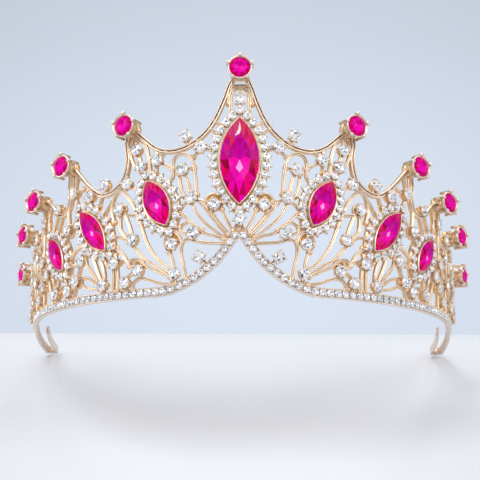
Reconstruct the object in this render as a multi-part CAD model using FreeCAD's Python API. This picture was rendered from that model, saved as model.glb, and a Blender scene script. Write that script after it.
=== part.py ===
"""Filigree tiara: a curved gilt front set with marquise and round stones.

The front is a vertical wall bent round the head. Everything on it is placed by
u, the distance along the wall from the centre, v, the height above the rail's
underside, and out, the distance outwards from the wall's reference surface.
The right half is listed, and the left half is its mirror image.
"""
import FreeCAD
import Part
import math
import os

V = FreeCAD.Vector

# ---- driving dimensions, mm ----
FRONT_RADIUS = 68.8      # plan radius round the forehead
FRONT_TURN = 1.38        # radians each side of centre before the wall straightens
SIDE_RADIUS = 480.0      # plan radius of the nearly straight sides
STRIP_END = 168.0        # length of the rail strip from the centre to its turned end
WALL_BACK, WALL_FRONT = -0.3, 1.5        # filigree plate, behind and in front
STRIP_BACK, STRIP_FRONT = -0.5, 0.4      # rail strip
STRIP_HEIGHT = 2.6
LOOP_GAP = 2.6           # clear width inside the turned end
LOOP_RETURN = 52.0       # length of the leg that comes back inside the strip
ARCH_END = 24.5          # where the pointed arch runs out into the level rail
RAIL_STONE, RAIL_PITCH, RAIL_STONES_END = 2.0, 2.45, 118.0
SPIRE_STONE = 6.2        # diameter of the round stones on the points
SPIRE_OUT = 6.0          # how far out the middle of each one stands
SPIRE_TOP = 7.1          # how far out their prong tips reach
PRONG, PRONG_BALL, PRONG_LENGTH = 0.5, 0.6, 2.8     # radii of a point's prongs and tips, and their reach
SPIRE_RIM, SPIRE_CUP_WALL = 0.55, 0.5    # metal outside a point's stone, thickness of its cup
SPIRE_LIP = 6.0          # how far out the lip of a point's cup reaches
SPIRE_STONE_ROOM = 3.0   # depth of the hollow that holds its stone
CUP_TAPER = 0.72         # radius of a cup's foot against its lip
CLAWS = 5                # prongs round a point's stone
HALO_STONE = 2.1
HALO_PITCH = 2.75        # spacing of the halo's stones
TOOTH_HALF, TOOTH_REACH = 0.7, 1.8       # half width of a halo's teeth, reach from the stone's middle
HALO_BAND = 0.5          # how far the halo band stands in front of the plate
HALO_OFFSET = 2.2        # halo stone centres outside the marquise outline
HALO_HALF = 1.15         # half width of the halo band
SPIRE_FOOT = 2.5         # radius of the plate's disc under each point's cup
BEZEL_WALL = 0.5
MARQUISE_TOP = 3.4
ACCENT_STONE = 3.4
ACCENT_RIM, ACCENT_CUP_WALL, ACCENT_LIP = 0.2, 0.3, 0.9
ACCENT_PRONG, ACCENT_PRONG_LENGTH = 0.35, 1.4
WIRE = 1.0               # width of the filigree wires
FRAME = 1.35             # width of the scalloped outline wire
TOP = 76.0               # taller than the whole front
SMALLEST_PIECE = 2.0     # mm3; offcuts under this are dropped
PUSH, PUSH_START = 20.0, -14.0           # how far flat outlines are pushed through the wall

# ---- where the stones sit: (u, v) of the points; (u, v) tips of the marquises ----
SPIRES = [(0, 66.8), (33.3, 51.5), (57.8, 43.6), (76.1, 36.4), (94.2, 29.4), (111.7, 19.6)]
SPIRE_FACING = [0, 27.7, 35, 42, 54, 66]  # degrees round from straight ahead
MARQUISES = [  # lower tip, upper tip, width
    ((0, 26.75), (0, 52.15), 11.0),
    ((21.3, 21), (27.1, 34.2), 7.0),
    ((41.7, 15.5), (52.0, 28.1), 6.5),
    ((60.8, 12.1), (69.5, 22.5), 6.0),
]
ACCENTS = [  # clear stones in small cups, by panel, on the right half
    [(15.8, 47.5), (11.3, 43.8), (16.6, 37.2), (24.4, 40.8), (31.2, 44.7), (29.7, 39.3), (13.9, 28.6),
     (7.1, 26.4), (13.2, 18), (19.4, 15), (18.6, 6.2), (11.3, 10.8)],
    [(34.2, 34.6), (42.5, 35.4), (48.6, 32.8), (56.1, 35.2), (36.8, 27), (31.9, 17.3), (29.8, 7.8),
     (34.2, 4.6), (38.2, 10.8), (42.4, 4.6)],
    [(59, 23.9), (65, 31.8), (75.8, 29.6), (51.8, 13.2), (54, 7.2), (57.8, 4.6), (64.8, 4.8),
     (72, 12), (76.7, 16.6), (75.2, 8.6)],
    [(78.4, 4.8), (84.5, 26.2), (82.5, 19.5), (84, 11.5), (89, 5), (92.5, 22.6), (93, 14.5)],
    [(98.5, 8.5), (103, 19.4), (104.5, 5), (110, 13.8), (114.5, 5.2), (119.5, 9.4)],
]
CENTRE_ACCENTS = [(0, 58.3), (0, 21.9)]
RAIL_ARM = [(11.3, 10.8), (8.8, 8.8)]    # stalk from one clear stone's seat down to the rail

# the rail's pointed arch, from the level stretch up past the middle
ARCH = [(26, 1.3), (22.1, 1.45), (17.6, 2.75), (13.5, 4.7), (9.5, 7.45), (6.1, 10.7), (3.2, 14.5),
        (1.3, 17.4), (-0.3, 19.9)]

# ---- filigree wires by panel, as points along each centreline ----
CENTRE_WIRES = [
    [(3.3, 50), (2.8, 55), (2.75, 57.5), (2.6, 60), (1.6, 61.6), (0, 62.1), (-1.6, 61.6), (-2.6, 60),
     (-2.75, 57.5), (-2.8, 55), (-3.3, 50)],
    [(-2.4, 62.8), (2.4, 62.8)], [(0, 62.5), (0, 54)],
    [(3.4, 57), (3, 61), (2, 64.8)], [(-3.4, 57), (-3, 61), (-2, 64.8)],
    [(0, 22), (0, 18.6)],
]
FRAMES = [  # the scalloped top outline, one stretch between each two points
    [(0.6, 66), (2.85, 63.2), (4.7, 58), (7.3, 52), (10.2, 48), (14.6, 44.6), (20, 43.2), (24.8, 44.4),
     (29.5, 48.2), (32.6, 51)],
    [(34.4, 50.6), (34.9, 46.5), (34.4, 42), (35.6, 36.4), (39.3, 33.2), (44, 32.5), (49, 35.4),
     (54.5, 40.4), (57.2, 43)],
    [(58.8, 43), (59.3, 38), (58.9, 33.5), (60.4, 30.4), (63.2, 29.6), (67, 30.6), (71.5, 34), (75.4, 36)],
    [(77.2, 36), (77.8, 31), (77.6, 27), (79.2, 24), (82.4, 23), (86, 24.2), (90, 26.8), (93.6, 28.8)],
    [(95.2, 28.8), (95.8, 24.5), (96.2, 20.5), (98.4, 17.2), (101.8, 16), (106, 16.8), (111, 19)],
]
WIRES = [
    [   # panel 1, between the centre point and the next
        [(12.4, 29.6), (12.8, 34.3), (13.2, 37.6), (13.8, 39.9), (15.1, 41.7), (16.9, 42.4), (18.8, 41.7),
         (19.7, 39.9), (19.8, 38), (19.6, 35.6), (20.6, 33.8), (22.4, 33.2)],
        [(17.8, 36.4), (17.2, 32.2), (16, 29.2)], [(16.2, 36.2), (15, 33), (14.4, 30.2)],
        [(13.7, 41.1), (11.6, 43)], [(19.7, 37.9), (16.5, 37.5), (13.4, 37.8)],
        [(11.3, 43.8), (7.6, 42.8)], [(11.3, 43.8), (12.4, 46)], [(7.3, 52), (5.2, 50.2)], [(8.8, 49.8), (6.6, 48)],
        [(15.8, 47.5), (14.9, 45.2)], [(24.4, 40.8), (22.2, 39.3), (19.8, 37.9)],
        [(24.2, 41), (22, 43.4)], [(24.6, 41.4), (25, 44.2)], [(24.5, 40.6), (24.9, 37.2)],
        [(32.1, 48.6), (29.7, 47.1), (28.3, 45.3), (27.6, 42.8), (27.1, 40.6), (26.7, 37)],
        [(33.2, 48.4), (33.6, 45.3), (33.4, 42.8), (32.1, 40), (30, 38)],
        [(31.8, 48.2), (31.2, 44.7), (29.6, 39.3), (28.4, 35.6)],
        [(14, 28.4), (17.2, 25.9)], [(13.6, 28.2), (9.6, 27.2)],
        [(14, 27.6), (12.3, 24), (9.6, 20.9), (7.1, 18.8), (4.6, 16.7)],
        [(10.8, 27), (9.4, 24.6), (7.4, 22), (5.4, 19.4), (3.2, 17.4)],
        [(8.1, 24.6), (6.5, 22.2), (4.6, 19.8), (2.9, 17.6)],
        [(5, 25), (3.9, 22.6), (2.8, 20.3), (1.7, 18.6)],
        [(17.8, 24.6), (16.2, 23.7), (14.3, 21.5), (12, 19.6), (9.6, 17.9), (7.1, 17.2), (4.2, 16)],
        [(14.4, 16.8), (13.3, 16), (11.3, 15.4), (8.9, 15.1), (5.4, 14.9), (3.8, 15)],
        [(17.5, 19.9), (16.3, 20.9), (15.2, 21.4), (13.9, 21.3), (12.3, 20.1), (10.9, 18.8)],
        [(17.5, 19.9), (16.5, 18.5), (14.4, 17.6)], [(16.7, 15.5), (14.2, 16.8)],
        [(20.4, 12.9), (21.6, 14.6), (21.7, 16.5), (20.5, 18.2), (18.6, 18.6), (17, 16.7), (16.7, 14.8),
         (16.8, 12.1), (16.1, 8.9), (15.2, 4.6)],
        [(20.4, 12.9), (19.4, 10.4), (18.7, 6.2), (18.4, 3.2)],
        [(29.8, 22.6), (28.7, 19.4), (27.7, 16.7), (26.1, 13.8), (23.6, 10.7), (19.8, 7.4)],
        [(29.6, 22.2), (26.6, 22.4)],
    ],
    [   # panel 2
        [(30.9, 31.8), (33.4, 34.6), (35.6, 36.4)],
        [(29.6, 21.7), (30.4, 23.5), (31.2, 25.6), (32.3, 27.9), (33.7, 29.9), (35.4, 31.8), (37.1, 32.8),
         (38.8, 31.8), (40, 28), (39, 23.4)],
        [(20.2, 5.9), (22.1, 7.4), (25.5, 9.7), (28.3, 11.5), (30.9, 14.2), (33.1, 16.5), (35.6, 19.6),
         (36.7, 21.4), (37, 27)],
        [(32.2, 17.4), (33, 20.5), (34.1, 23.2), (35.2, 25.4), (36.6, 27)],
        [(30.7, 24.6), (34.4, 25.3), (36.8, 26.6)], [(33.9, 17.1), (36.6, 18.6), (39, 18.8)],
        [(20.2, 5.5), (25.5, 8.1), (27.7, 9.4), (29.5, 10.9), (31.3, 11.5), (32.9, 11), (33.4, 9.7)],
        [(33, 10.6), (36.4, 11.4), (39, 13)],
        [(19.8, 3.2), (23.5, 3.9), (26.4, 5), (29.4, 5.7), (31.6, 4.4), (32, 2.4)],
        [(29.8, 7.9), (33, 9.6), (35.4, 13.2), (38, 15.6)],
        [(29.4, 9), (33.6, 6.2), (34.2, 2.4)], [(38.2, 13.6), (37.4, 8.8), (36.8, 2.4)],
        [(38.9, 11), (38.8, 2.4)], [(43, 14.2), (41, 10.8), (36.4, 10.8)],
        [(42.6, 2.4), (42.2, 8), (44.4, 14.4)],
        [(42.6, 4.6), (45.2, 9.8), (47.6, 15.4)], [(43.6, 5), (47, 8.5), (50.2, 12.6), (50, 18)],
        [(44, 4.4), (49, 7.5), (54, 8.6)], [(42.8, 3.6), (49, 4.6), (54, 7)],
        [(42.5, 35.4), (42.2, 32.6)], [(37, 33.8), (41, 29), (43.2, 25.6)], [(44, 32.8), (45, 29.4)],
        [(48.6, 32.8), (50, 29.4)],
        [(49, 35.4), (48.6, 32.8)], [(55.4, 40.6), (56.4, 35.4), (54.2, 29.2)], [(56.2, 35), (52.6, 36)],
        [(56, 35.2), (59.2, 34.6)],
    ],
    [   # panel 3
        [(53.6, 24.8), (59, 23.8), (61, 18)], [(59, 23.8), (60, 30.6)], [(59, 23.8), (64.6, 24)],
        [(54.6, 28), (59, 23.8)], [(50.6, 18.6), (54.6, 17.4), (58.4, 14.6)],
        [(51.8, 13.2), (55, 12.6), (59, 12.2)],
        [(48.6, 16.4), (51.8, 13.2), (54, 7.2), (55.4, 2.4)], [(54, 7.2), (58, 9.4), (59.6, 11)],
        [(57.8, 2.4), (57.8, 5), (61, 9.6)], [(57.8, 4.8), (62, 6.6), (64.8, 4.8)],
        [(64.8, 2.4), (64.6, 9.4)],
        [(64.8, 4.8), (68, 9), (68.6, 12.6)], [(68, 2.4), (70.6, 8), (72, 12), (70.4, 16)],
        [(72, 12), (75.2, 8.6), (75.4, 2.4)], [(66.6, 30.4), (69.6, 25)],
        [(72, 34), (73.4, 28.6), (71.4, 23.2)],
        [(73.4, 28.6), (77.8, 29.6)], [(63.4, 29.6), (65.6, 24.4)],
        [(72.6, 19.6), (76.6, 16.8), (77.4, 23), (77.8, 28)],
        [(72, 12), (76.6, 16.8)],
    ],
    [   # panel 4
        [(77.2, 17), (82.5, 19.5), (83, 23)], [(82.5, 19.5), (87.4, 19.4), (92.4, 22.6), (95.8, 24)],
        [(75.4, 8.6), (79.4, 12.4), (82.5, 19.5)], [(78.4, 2.4), (78.4, 5), (81, 9), (84, 11.5)],
        [(84, 11.5), (86.6, 15.6), (87.4, 19.4)], [(84, 11.5), (88.8, 11.8), (93, 14.5), (92.4, 22.6)],
        [(84.4, 2.4), (84, 11.5)], [(89, 2.4), (89, 5), (91.4, 10), (93, 14.5)],
        [(86, 24), (87.4, 19.4)], [(84.5, 26.2), (84.6, 23.4)],
        [(89, 5), (94, 6.8), (98.5, 8.5)], [(78.4, 4.8), (84, 6)], [(90.4, 27.2), (92.4, 22.6)],
        [(76.6, 16.8), (80, 15.4), (84, 11.5)],
    ],
    [   # panel 5, falling to the rail
        [(93, 14.5), (96.8, 18.6)], [(95.4, 2.4), (98.5, 8.5), (98.4, 13), (98.6, 17.2)],
        [(98.5, 8.5), (103, 12), (103.4, 19)], [(103.4, 12.4), (106.6, 14), (110, 13.8), (110.4, 20)],
        [(104.5, 2.4), (104.5, 5), (106.4, 9.6), (110, 13.8)],
        [(98.5, 8.5), (104.5, 5), (110, 6.4), (114.5, 5)],
        [(110, 13.8), (114.4, 12.8), (119.5, 9.4), (122.4, 5.6), (123.4, 2.4)],
        [(112.4, 19), (116.6, 15), (119.5, 9.4)],
        [(114.5, 2.4), (114.5, 5), (119.5, 9.4)], [(93, 14.5), (98.5, 8.5)],
        [(109.6, 2.4), (110, 6.4), (110, 13.8)],
    ],
]
PLATES = [  # solid rounds of the filigree, (u, v, radius) by panel
    [(7.4, 27.2, 3.0), (19.3, 16.6, 2.1)], [(29.9, 9.4, 2.2), (36.8, 27, 2.3)],
    [(59, 23.9, 2.5), (76.7, 16.6, 2.4), (72, 12, 2.3), (54, 7.2, 2.2)],
    [(82.5, 19.5, 2.4), (84, 11.5, 2.3), (93, 14.5, 2.4), (92.5, 22.6, 2.2)],
    [(98.5, 8.5, 2.4), (103, 19.4, 2.2), (110, 13.8, 2.4)],
]
PANEL_CENTRES = [0, 19, 44, 66, 85, 106]


def plan(u, out=0.0):
    """Plan position (x, y) of a point of the wall, and the wall's turn there."""
    along = abs(u)
    turn = along / FRONT_RADIUS
    x = FRONT_RADIUS * math.sin(turn)
    y = FRONT_RADIUS * (1 - math.cos(turn))
    front_length = FRONT_RADIUS * FRONT_TURN
    if along > front_length:
        turn = FRONT_TURN + (along - front_length) / SIDE_RADIUS
        x = FRONT_RADIUS * math.sin(FRONT_TURN) + SIDE_RADIUS * (math.sin(turn) - math.sin(FRONT_TURN))
        y = (FRONT_RADIUS * (1 - math.cos(FRONT_TURN))
             + SIDE_RADIUS * (math.cos(FRONT_TURN) - math.cos(turn)))
    side = math.copysign(1, u)
    return side * (x + out * math.sin(turn)), y - out * math.cos(turn), side * turn


LOOP_RADIUS = (LOOP_GAP + STRIP_FRONT - STRIP_BACK) / 2
LOOP_OUTER = LOOP_RADIUS + (STRIP_FRONT - STRIP_BACK) / 2
Y_SHIFT = (SPIRE_TOP - plan(STRIP_END)[1] - LOOP_OUTER) / 2      # puts the origin mid-depth


def point(u, v, out=0.0):
    x, y, turn = plan(u, out)
    return V(x, y + Y_SHIFT, v)


def stand(u, v, out=0.0, roll=0.0):
    """Placement whose local x runs along the wall, y up and z outwards."""
    turn = plan(u)[2]
    base = FreeCAD.Rotation(V(math.cos(turn), math.sin(turn), 0), V(0, 0, 1),
                            V(math.sin(turn), -math.cos(turn), 0), "ZXY")
    return FreeCAD.Placement(point(u, v, out), base.multiply(FreeCAD.Rotation(V(0, 0, 1), roll)))


def spire_stand(number, side):
    """Placement of a point's stone: turned a little forwards about the stone's own middle."""
    u, v = SPIRES[number]
    facing = side * math.radians(SPIRE_FACING[number])
    outwards = V(math.sin(facing), -math.cos(facing), 0)
    pose = FreeCAD.Rotation(V(math.cos(facing), math.sin(facing), 0), V(0, 0, 1), outwards, "ZXY")
    return FreeCAD.Placement(point(side * u, v, SPIRE_OUT) - outwards * SPIRE_OUT, pose)


def spire_foot(number):
    """(u, v) on the right half where a point's cup meets the wall."""
    u, v = SPIRES[number]
    slew = plan(u)[2] - math.radians(SPIRE_FACING[number])
    return u + (SPIRE_OUT - WALL_FRONT) * math.sin(slew), v


def wall(back, front):
    """The bent wall between two distances out, taller than the front."""
    def edge(out):
        join = FRONT_RADIUS * FRONT_TURN
        stops = [-STRIP_END, -(STRIP_END + join) / 2, -join, 0, join, (STRIP_END + join) / 2, STRIP_END]
        at = [point(u, -1, out) for u in stops]
        return [Part.Arc(at[i], at[i + 1], at[i + 2]).toShape() for i in (0, 2, 4)], at[0], at[-1]
    inner, inner_left, inner_right = edge(back)
    outer, outer_left, outer_right = edge(front)
    ends = [Part.makeLine(inner_right, outer_right), Part.makeLine(outer_left, inner_left)]
    return Part.Face(Part.Wire(Part.__sortEdges__(inner + outer + ends))).extrude(V(0, 0, TOP))


# ---- flat outlines in a panel's own plane ----
def flat(points, centre):
    """(u, v) points as seen square on from the panel's middle."""
    x0, y0, turn = plan(centre)
    result = []
    for u, v in points:
        x, y, _ = plan(u)
        result.append(V((x - x0) * math.cos(turn) + (y - y0) * math.sin(turn), v, 0))
    return result


def ribbon(points, width):
    """A ribbon of even width with round ends along a smooth centreline."""
    line = Part.BSplineCurve()
    line.interpolate(points)
    spans = 2 * len(points)
    first, last = line.FirstParameter, line.LastParameter
    sides = [[], []]
    for i in range(spans + 1):
        t = first + (last - first) * i / spans
        along = line.tangent(t)[0]
        across = V(-along.y, along.x, 0) * (width / 2)
        sides[0].append(line.value(t) + across)
        sides[1].insert(0, line.value(t) - across)
    edges = []
    for side in sides:
        curve = Part.BSplineCurve()
        curve.interpolate(side)
        edges.append(curve.toShape())
    tip = line.value(last) + line.tangent(last)[0] * (width / 2)
    tail = line.value(first) - line.tangent(first)[0] * (width / 2)
    edges.append(Part.Arc(sides[0][-1], tip, sides[1][0]).toShape())
    edges.append(Part.Arc(sides[1][-1], tail, sides[0][0]).toShape())
    return Part.Face(Part.Wire(Part.__sortEdges__(edges)))


def disc(centre, radius):
    return Part.Face(Part.Wire([Part.makeCircle(radius, centre)]))


def vesica(length, width, grow=0.0):
    """Pointed oval along local y, made of two arcs, grown outwards by grow."""
    half, across = length / 2, width / 2
    radius = (half * half + across * across) / (2 * across) + grow
    back = radius - across - grow
    tip = math.sqrt(radius * radius - back * back)
    right = Part.Arc(V(0, -tip, 0), V(across + grow, 0, 0), V(0, tip, 0)).toShape()
    left = Part.Arc(V(0, tip, 0), V(-across - grow, 0, 0), V(0, -tip, 0)).toShape()
    return Part.Wire([right, left])


def marquise_pose(index, side):
    """Centre (u, v), length, width and lean of a marquise on one side."""
    low, high, width = MARQUISES[index]
    rise, run = high[1] - low[1], high[0] - low[0]
    lean = -side * math.degrees(math.atan2(run, rise))
    return side * (low[0] + high[0]) / 2, (low[1] + high[1]) / 2, math.hypot(rise, run), width, lean


def seat_ring(index):
    """The plate's flat ring round a marquise, and the hole for its bezel, in the marquise's plane."""
    _, _, length, width, _ = marquise_pose(index, 1)
    ring = Part.Face(vesica(length, width, HALO_OFFSET + HALO_HALF))
    hole = Part.Face(vesica(length, width, BEZEL_WALL))
    return ring, hole


def in_panel(face, index, side, centre):
    """Move a face from a marquise's own plane into the plane of its panel."""
    u, v, _, _, lean = marquise_pose(index, side)
    at = flat([(u, v)], centre)[0]
    moved = face.copy()
    moved.Placement = FreeCAD.Placement(at, FreeCAD.Rotation(V(0, 0, 1), lean))
    return moved


def one_sheet(faces, holes):
    """Overlapping flat faces joined into pierced sheets, less the holes: only the edges that
    belong to a single face are on the outline."""
    sheet = faces[0].multiFuse(faces[1:]) if len(faces) > 1 else faces[0]
    if holes:
        sheet = sheet.cut(holes)
    owners = {}
    for face in sheet.Faces:
        for edge in face.Edges:
            owners.setdefault(edge.hashCode(), []).append(edge)
    outline = [edge for edges in owners.values() for edge in edges
               if sum(edge.isSame(other) for other in edges) == 1]
    wires = [Part.Wire(run) for run in Part.sortEdges(outline)]
    return Part.makeFace(wires, "Part::FaceMakerBullseye").Faces


def on_wall(faces, holes, centre, shell):
    """Push flat faces through the bent wall, less the holes, and keep what lies inside it."""
    solids = []
    for sheet in one_sheet(faces, holes):
        block = sheet.extrude(V(0, 0, PUSH))
        block.Placement = stand(centre, 0, PUSH_START)
        solids += [solid for solid in block.common(shell).Solids if solid.Volume > SMALLEST_PIECE]
    return solids


def mirrored(points, side):
    return [(side * u, v) for u, v in points]


def rail_outline(side, centre):
    """The rail's face in a panel's plane: the arch and the level run."""
    level = [(ARCH_END, -3), (STRIP_END, -3), (STRIP_END, STRIP_HEIGHT), (ARCH_END, STRIP_HEIGHT)]
    corners = flat(mirrored([(min(u, abs(centre) + 50), v) for u, v in level], side), centre)
    faces = [Part.Face(Part.makePolygon(corners + corners[:1]))]
    if abs(centre) < 60:
        faces.append(ribbon(flat(mirrored(ARCH, side), centre), STRIP_HEIGHT))
        if abs(centre) < ARCH_END:
            faces.append(ribbon(flat(mirrored(ARCH, -side), centre), STRIP_HEIGHT))
    return faces


def panel(number, side, shell):
    """One filigree panel: outline wire, inner wires, stone seats and marquise ring."""
    centre = side * PANEL_CENTRES[number]
    faces, holes = [], []
    if number == 0:
        strokes = [(line, WIRE) for line in CENTRE_WIRES]
        seats = CENTRE_ACCENTS
    else:
        strokes = [(line, WIRE) for line in WIRES[number - 1]] + [(FRAMES[number - 1], FRAME)]
        seats = [place for place in ACCENTS[number - 1] if place != RAIL_ARM[0]]
        for u, v, radius in PLATES[number - 1]:
            faces.append(disc(flat([(side * u, v)], centre)[0], radius))
    for line, width in strokes:
        faces.append(ribbon(flat(mirrored(line, side), centre), width))
    for u, v in mirrored(seats, side):
        faces.append(disc(flat([(u, v)], centre)[0], ACCENT_STONE / 2))
    faces.append(disc(flat(mirrored([spire_foot(number)], side), centre)[0], SPIRE_FOOT))
    if number < len(MARQUISES):
        ring, hole = seat_ring(number)
        faces.append(in_panel(ring, number, side, centre))
        holes.append(in_panel(hole, number, side, centre))
    return on_wall(faces, holes + rail_outline(side, centre), centre, shell)


# ---- stones and their settings, built at the origin facing local z ----
def faceted(rings, top, bottom):
    """Closed solid through rings of points, with a flat top ring or bottom point."""
    faces = [Part.Face(Part.makePolygon(top + top[:1]))]
    stack = [top] + rings
    for upper, lower in zip(stack, stack[1:]):
        count = len(upper)
        for i in range(count):
            j = (i + 1) % count
            faces.append(Part.Face(Part.makePolygon([upper[i], lower[i], lower[j], upper[i]])))
            faces.append(Part.Face(Part.makePolygon([upper[i], lower[j], upper[j], upper[i]])))
    last = stack[-1]
    for i in range(len(last)):
        faces.append(Part.Face(Part.makePolygon([last[i], bottom, last[(i + 1) % len(last)], last[i]])))
    return Part.makeSolid(Part.makeShell(faces))


def round_stone(diameter, top, depth, count=8):
    """Brilliant cut: flat table, sloping crown, point below. Table at local z = top."""
    def ring(radius, z, twist=0.0):
        step = 2 * math.pi / count
        return [V(radius * math.cos(step * (i + twist)), radius * math.sin(step * (i + twist)), z)
                for i in range(count)]
    radius = diameter / 2
    crown = 0.3 * depth
    return faceted([ring(radius, top - crown), ring(radius * 0.97, top - crown - 0.06 * diameter)],
                   ring(radius * 0.6, top), V(0, 0, top - depth))


def marquise_stone(length, width, top, depth, count=16):
    """Pointed oval stone with a flat table and a keel point below."""
    def ring(scale, z):
        half, across = length / 2 * scale, width / 2 * scale
        radius = (half * half + across * across) / (2 * across)
        reach = math.asin(half / radius)
        points = []
        for side in (1, -1):
            for i in range(count // 2):
                angle = side * reach * (4 * i / count - 1)
                x = side * (radius * math.cos(angle) - radius + across)
                points.append(V(x, radius * math.sin(angle), z))
        return points
    crown = 0.45 * depth
    girdle = [ring(0.96, top - crown), ring(0.95, top - crown - 0.3)]
    return faceted(girdle, ring(0.5, top), V(0, 0, top - depth))


def cup(radius, base, lip, wall_thickness, stone_room):
    """Turned cup with a sloping seat inside, from local z = base to lip."""
    foot = radius * CUP_TAPER
    profile = [V(0, 0, base), V(foot, 0, base), V(radius, 0, lip - 1.0 * wall_thickness), V(radius, 0, lip),
               V(radius - wall_thickness, 0, lip), V(radius - wall_thickness, 0, lip - 0.3 * stone_room),
               V(0, 0, lip - stone_room)]
    return Part.Face(Part.makePolygon(profile + profile[:1])).revolve(V(0, 0, 0), V(0, 0, 1), 360)


def spire_cup():
    """Cup for a point's stone, with five ball-tipped prongs and a foot longer than needed."""
    radius = SPIRE_STONE / 2 + SPIRE_RIM
    low, tip = SPIRE_LIP - PRONG_LENGTH, SPIRE_TOP - PRONG_BALL
    body = cup(radius, WALL_FRONT, SPIRE_LIP, SPIRE_CUP_WALL, SPIRE_STONE_ROOM)
    prongs = [Part.makeCylinder(CUP_TAPER * radius, WALL_FRONT + 1, V(0, 0, -1))]
    claw_ring = radius + PRONG / 2
    for k in range(CLAWS):
        angle = math.radians(90 + 360 / CLAWS * k)
        x, y = claw_ring * math.cos(angle), claw_ring * math.sin(angle)
        prongs += [Part.makeCylinder(PRONG, tip - low, V(x, y, low)),
                   Part.makeSphere(PRONG_BALL, V(x, y, tip)), Part.makeSphere(PRONG, V(x, y, low))]
    return body.multiFuse(prongs).removeSplitter()


def spire_settings(numbers, side, outside):
    """The points' cups set up on one side, each foot trimmed to the wall's front."""
    whole = spire_cup()
    result = []
    for number in numbers:
        setting = whole.copy()
        setting.Placement = spire_stand(number, side)
        result += setting.common(outside).Solids
    return result


def accent_cup():
    """Small cup with four prongs over the stone's edge."""
    radius = ACCENT_STONE / 2 + ACCENT_RIM
    body = cup(radius, WALL_FRONT, WALL_FRONT + ACCENT_LIP, ACCENT_CUP_WALL, 0.8)
    prongs = []
    for k in range(4):
        angle = math.radians(45 + 90 * k)
        at = V(radius * math.cos(angle), radius * math.sin(angle), WALL_FRONT)
        prongs.append(Part.makeCylinder(ACCENT_PRONG, ACCENT_PRONG_LENGTH, at))
    return body.multiFuse(prongs).removeSplitter()


def bezel(index):
    """Upright pointed-oval collar, open at the back."""
    _, _, length, width, _ = marquise_pose(index, 1)
    outer = Part.Face(vesica(length, width, BEZEL_WALL))
    inner = Part.Face(vesica(length, width, 0.02))
    collar = outer.cut(inner).extrude(V(0, 0, MARQUISE_TOP - 0.7 - WALL_BACK))
    collar.translate(V(0, 0, WALL_BACK))
    return collar


def even_points(wire, pitch):
    count = 2 * round(wire.Length / pitch / 2)
    return wire.discretize(Number=count + 1)[:-1]


def tooth(length, width, middle):
    """Pointed tooth on a halo's outer edge, facing away from the marquise."""
    nearest = V(0, max(-1, min(1, 2 * middle.y / length)) * (length - width) / 2, 0)
    ahead = (middle - nearest).normalize()
    across = V(-ahead.y, ahead.x, 0) * TOOTH_HALF
    root = middle + ahead * 0.5
    corners = [root + across, root - across, middle + ahead * TOOTH_REACH]
    return Part.Face(Part.makePolygon(corners + corners[:1]))


def halo_setting(index, side, shell):
    """Toothed band round a marquise that carries its ring of small stones."""
    u, v, length, width, _ = marquise_pose(index, side)
    inner = Part.Face(vesica(length, width, BEZEL_WALL))
    band = Part.Face(vesica(length, width, HALO_OFFSET + HALO_HALF * 0.7))
    seats = [disc(p, HALO_STONE / 2 + 0.2) for p in even_points(vesica(length, width, HALO_OFFSET), HALO_PITCH)]
    teeth = [tooth(length, width, p) for p in even_points(vesica(length, width, HALO_OFFSET), HALO_PITCH)]
    outline = [in_panel(face, index, side, u) for face in [band] + seats + teeth]
    return on_wall(outline, [in_panel(inner, index, side, u)], u, shell)


def halo_places(index, side):
    """(u, v) of a halo's small stones, found along the grown outline."""
    u, v, length, width, lean = marquise_pose(index, side)
    turn = math.radians(lean)
    places = []
    for p in even_points(vesica(length, width, HALO_OFFSET), HALO_PITCH):
        places.append((u + p.x * math.cos(turn) - p.y * math.sin(turn),
                       v + p.x * math.sin(turn) + p.y * math.cos(turn)))
    return places


# ---- rail ----
def rail_places(side):
    """(u, v) of the rail's stones, up the pointed arch and along the side."""
    line = Part.BSplineCurve()
    line.interpolate([V(u, v, 0) for u, v in ARCH[1:-1]])
    wire = Part.Wire([line.toShape()])
    places = [(side * p.x, p.y) for p in wire.discretize(Number=round(wire.Length / RAIL_PITCH) + 1)]
    u = ARCH[1][0] + RAIL_PITCH
    while u < RAIL_STONES_END:
        places.append((side * u, STRIP_HEIGHT / 2))
        u += RAIL_PITCH
    return places


def side_strip(side):
    """The level run in plan with its turned-in end, pulled up to the strip's height."""
    join = FRONT_RADIUS * FRONT_TURN
    stops = [ARCH_END, (ARCH_END + join) / 2, join, (join + STRIP_END) / 2, STRIP_END]
    middle = (STRIP_FRONT + STRIP_BACK) / 2
    half = (STRIP_FRONT - STRIP_BACK) / 2
    turn_centre = point(side * STRIP_END, 0, middle - LOOP_RADIUS)
    heading = plan(side * STRIP_END)[2]
    back = V(math.cos(heading), math.sin(heading), 0) * side
    edges, ends = [], []
    returns = [STRIP_END, STRIP_END - LOOP_RETURN / 2, STRIP_END - LOOP_RETURN]
    for sign in (1, -1):
        at = [point(side * u, 0, middle + sign * half) for u in stops]
        leg = [point(side * u, 0, middle - 2 * LOOP_RADIUS - sign * half) for u in returns]
        outer_end = turn_centre + back * (LOOP_RADIUS + sign * half)
        edges += [Part.Arc(*at[:3]).toShape(), Part.Arc(*at[2:]).toShape(),
                  Part.Arc(at[-1], outer_end, leg[0]).toShape(), Part.Arc(*leg).toShape()]
        ends.append((at[0], leg[-1]))
    edges += [Part.makeLine(ends[0][0], ends[1][0]), Part.makeLine(ends[0][1], ends[1][1])]
    return Part.Face(Part.Wire(Part.__sortEdges__(edges))).extrude(V(0, 0, STRIP_HEIGHT))


def rail_arm(side, centre):
    """Stalk and seat for the clear stone that stands on the rail's arch."""
    line = flat(mirrored(RAIL_ARM, side), centre)
    faces = [ribbon(line, WIRE), disc(line[0], ACCENT_STONE / 2)]
    return on_wall(faces, rail_outline(side, centre), centre, wall(WALL_BACK, WALL_FRONT))


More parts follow.
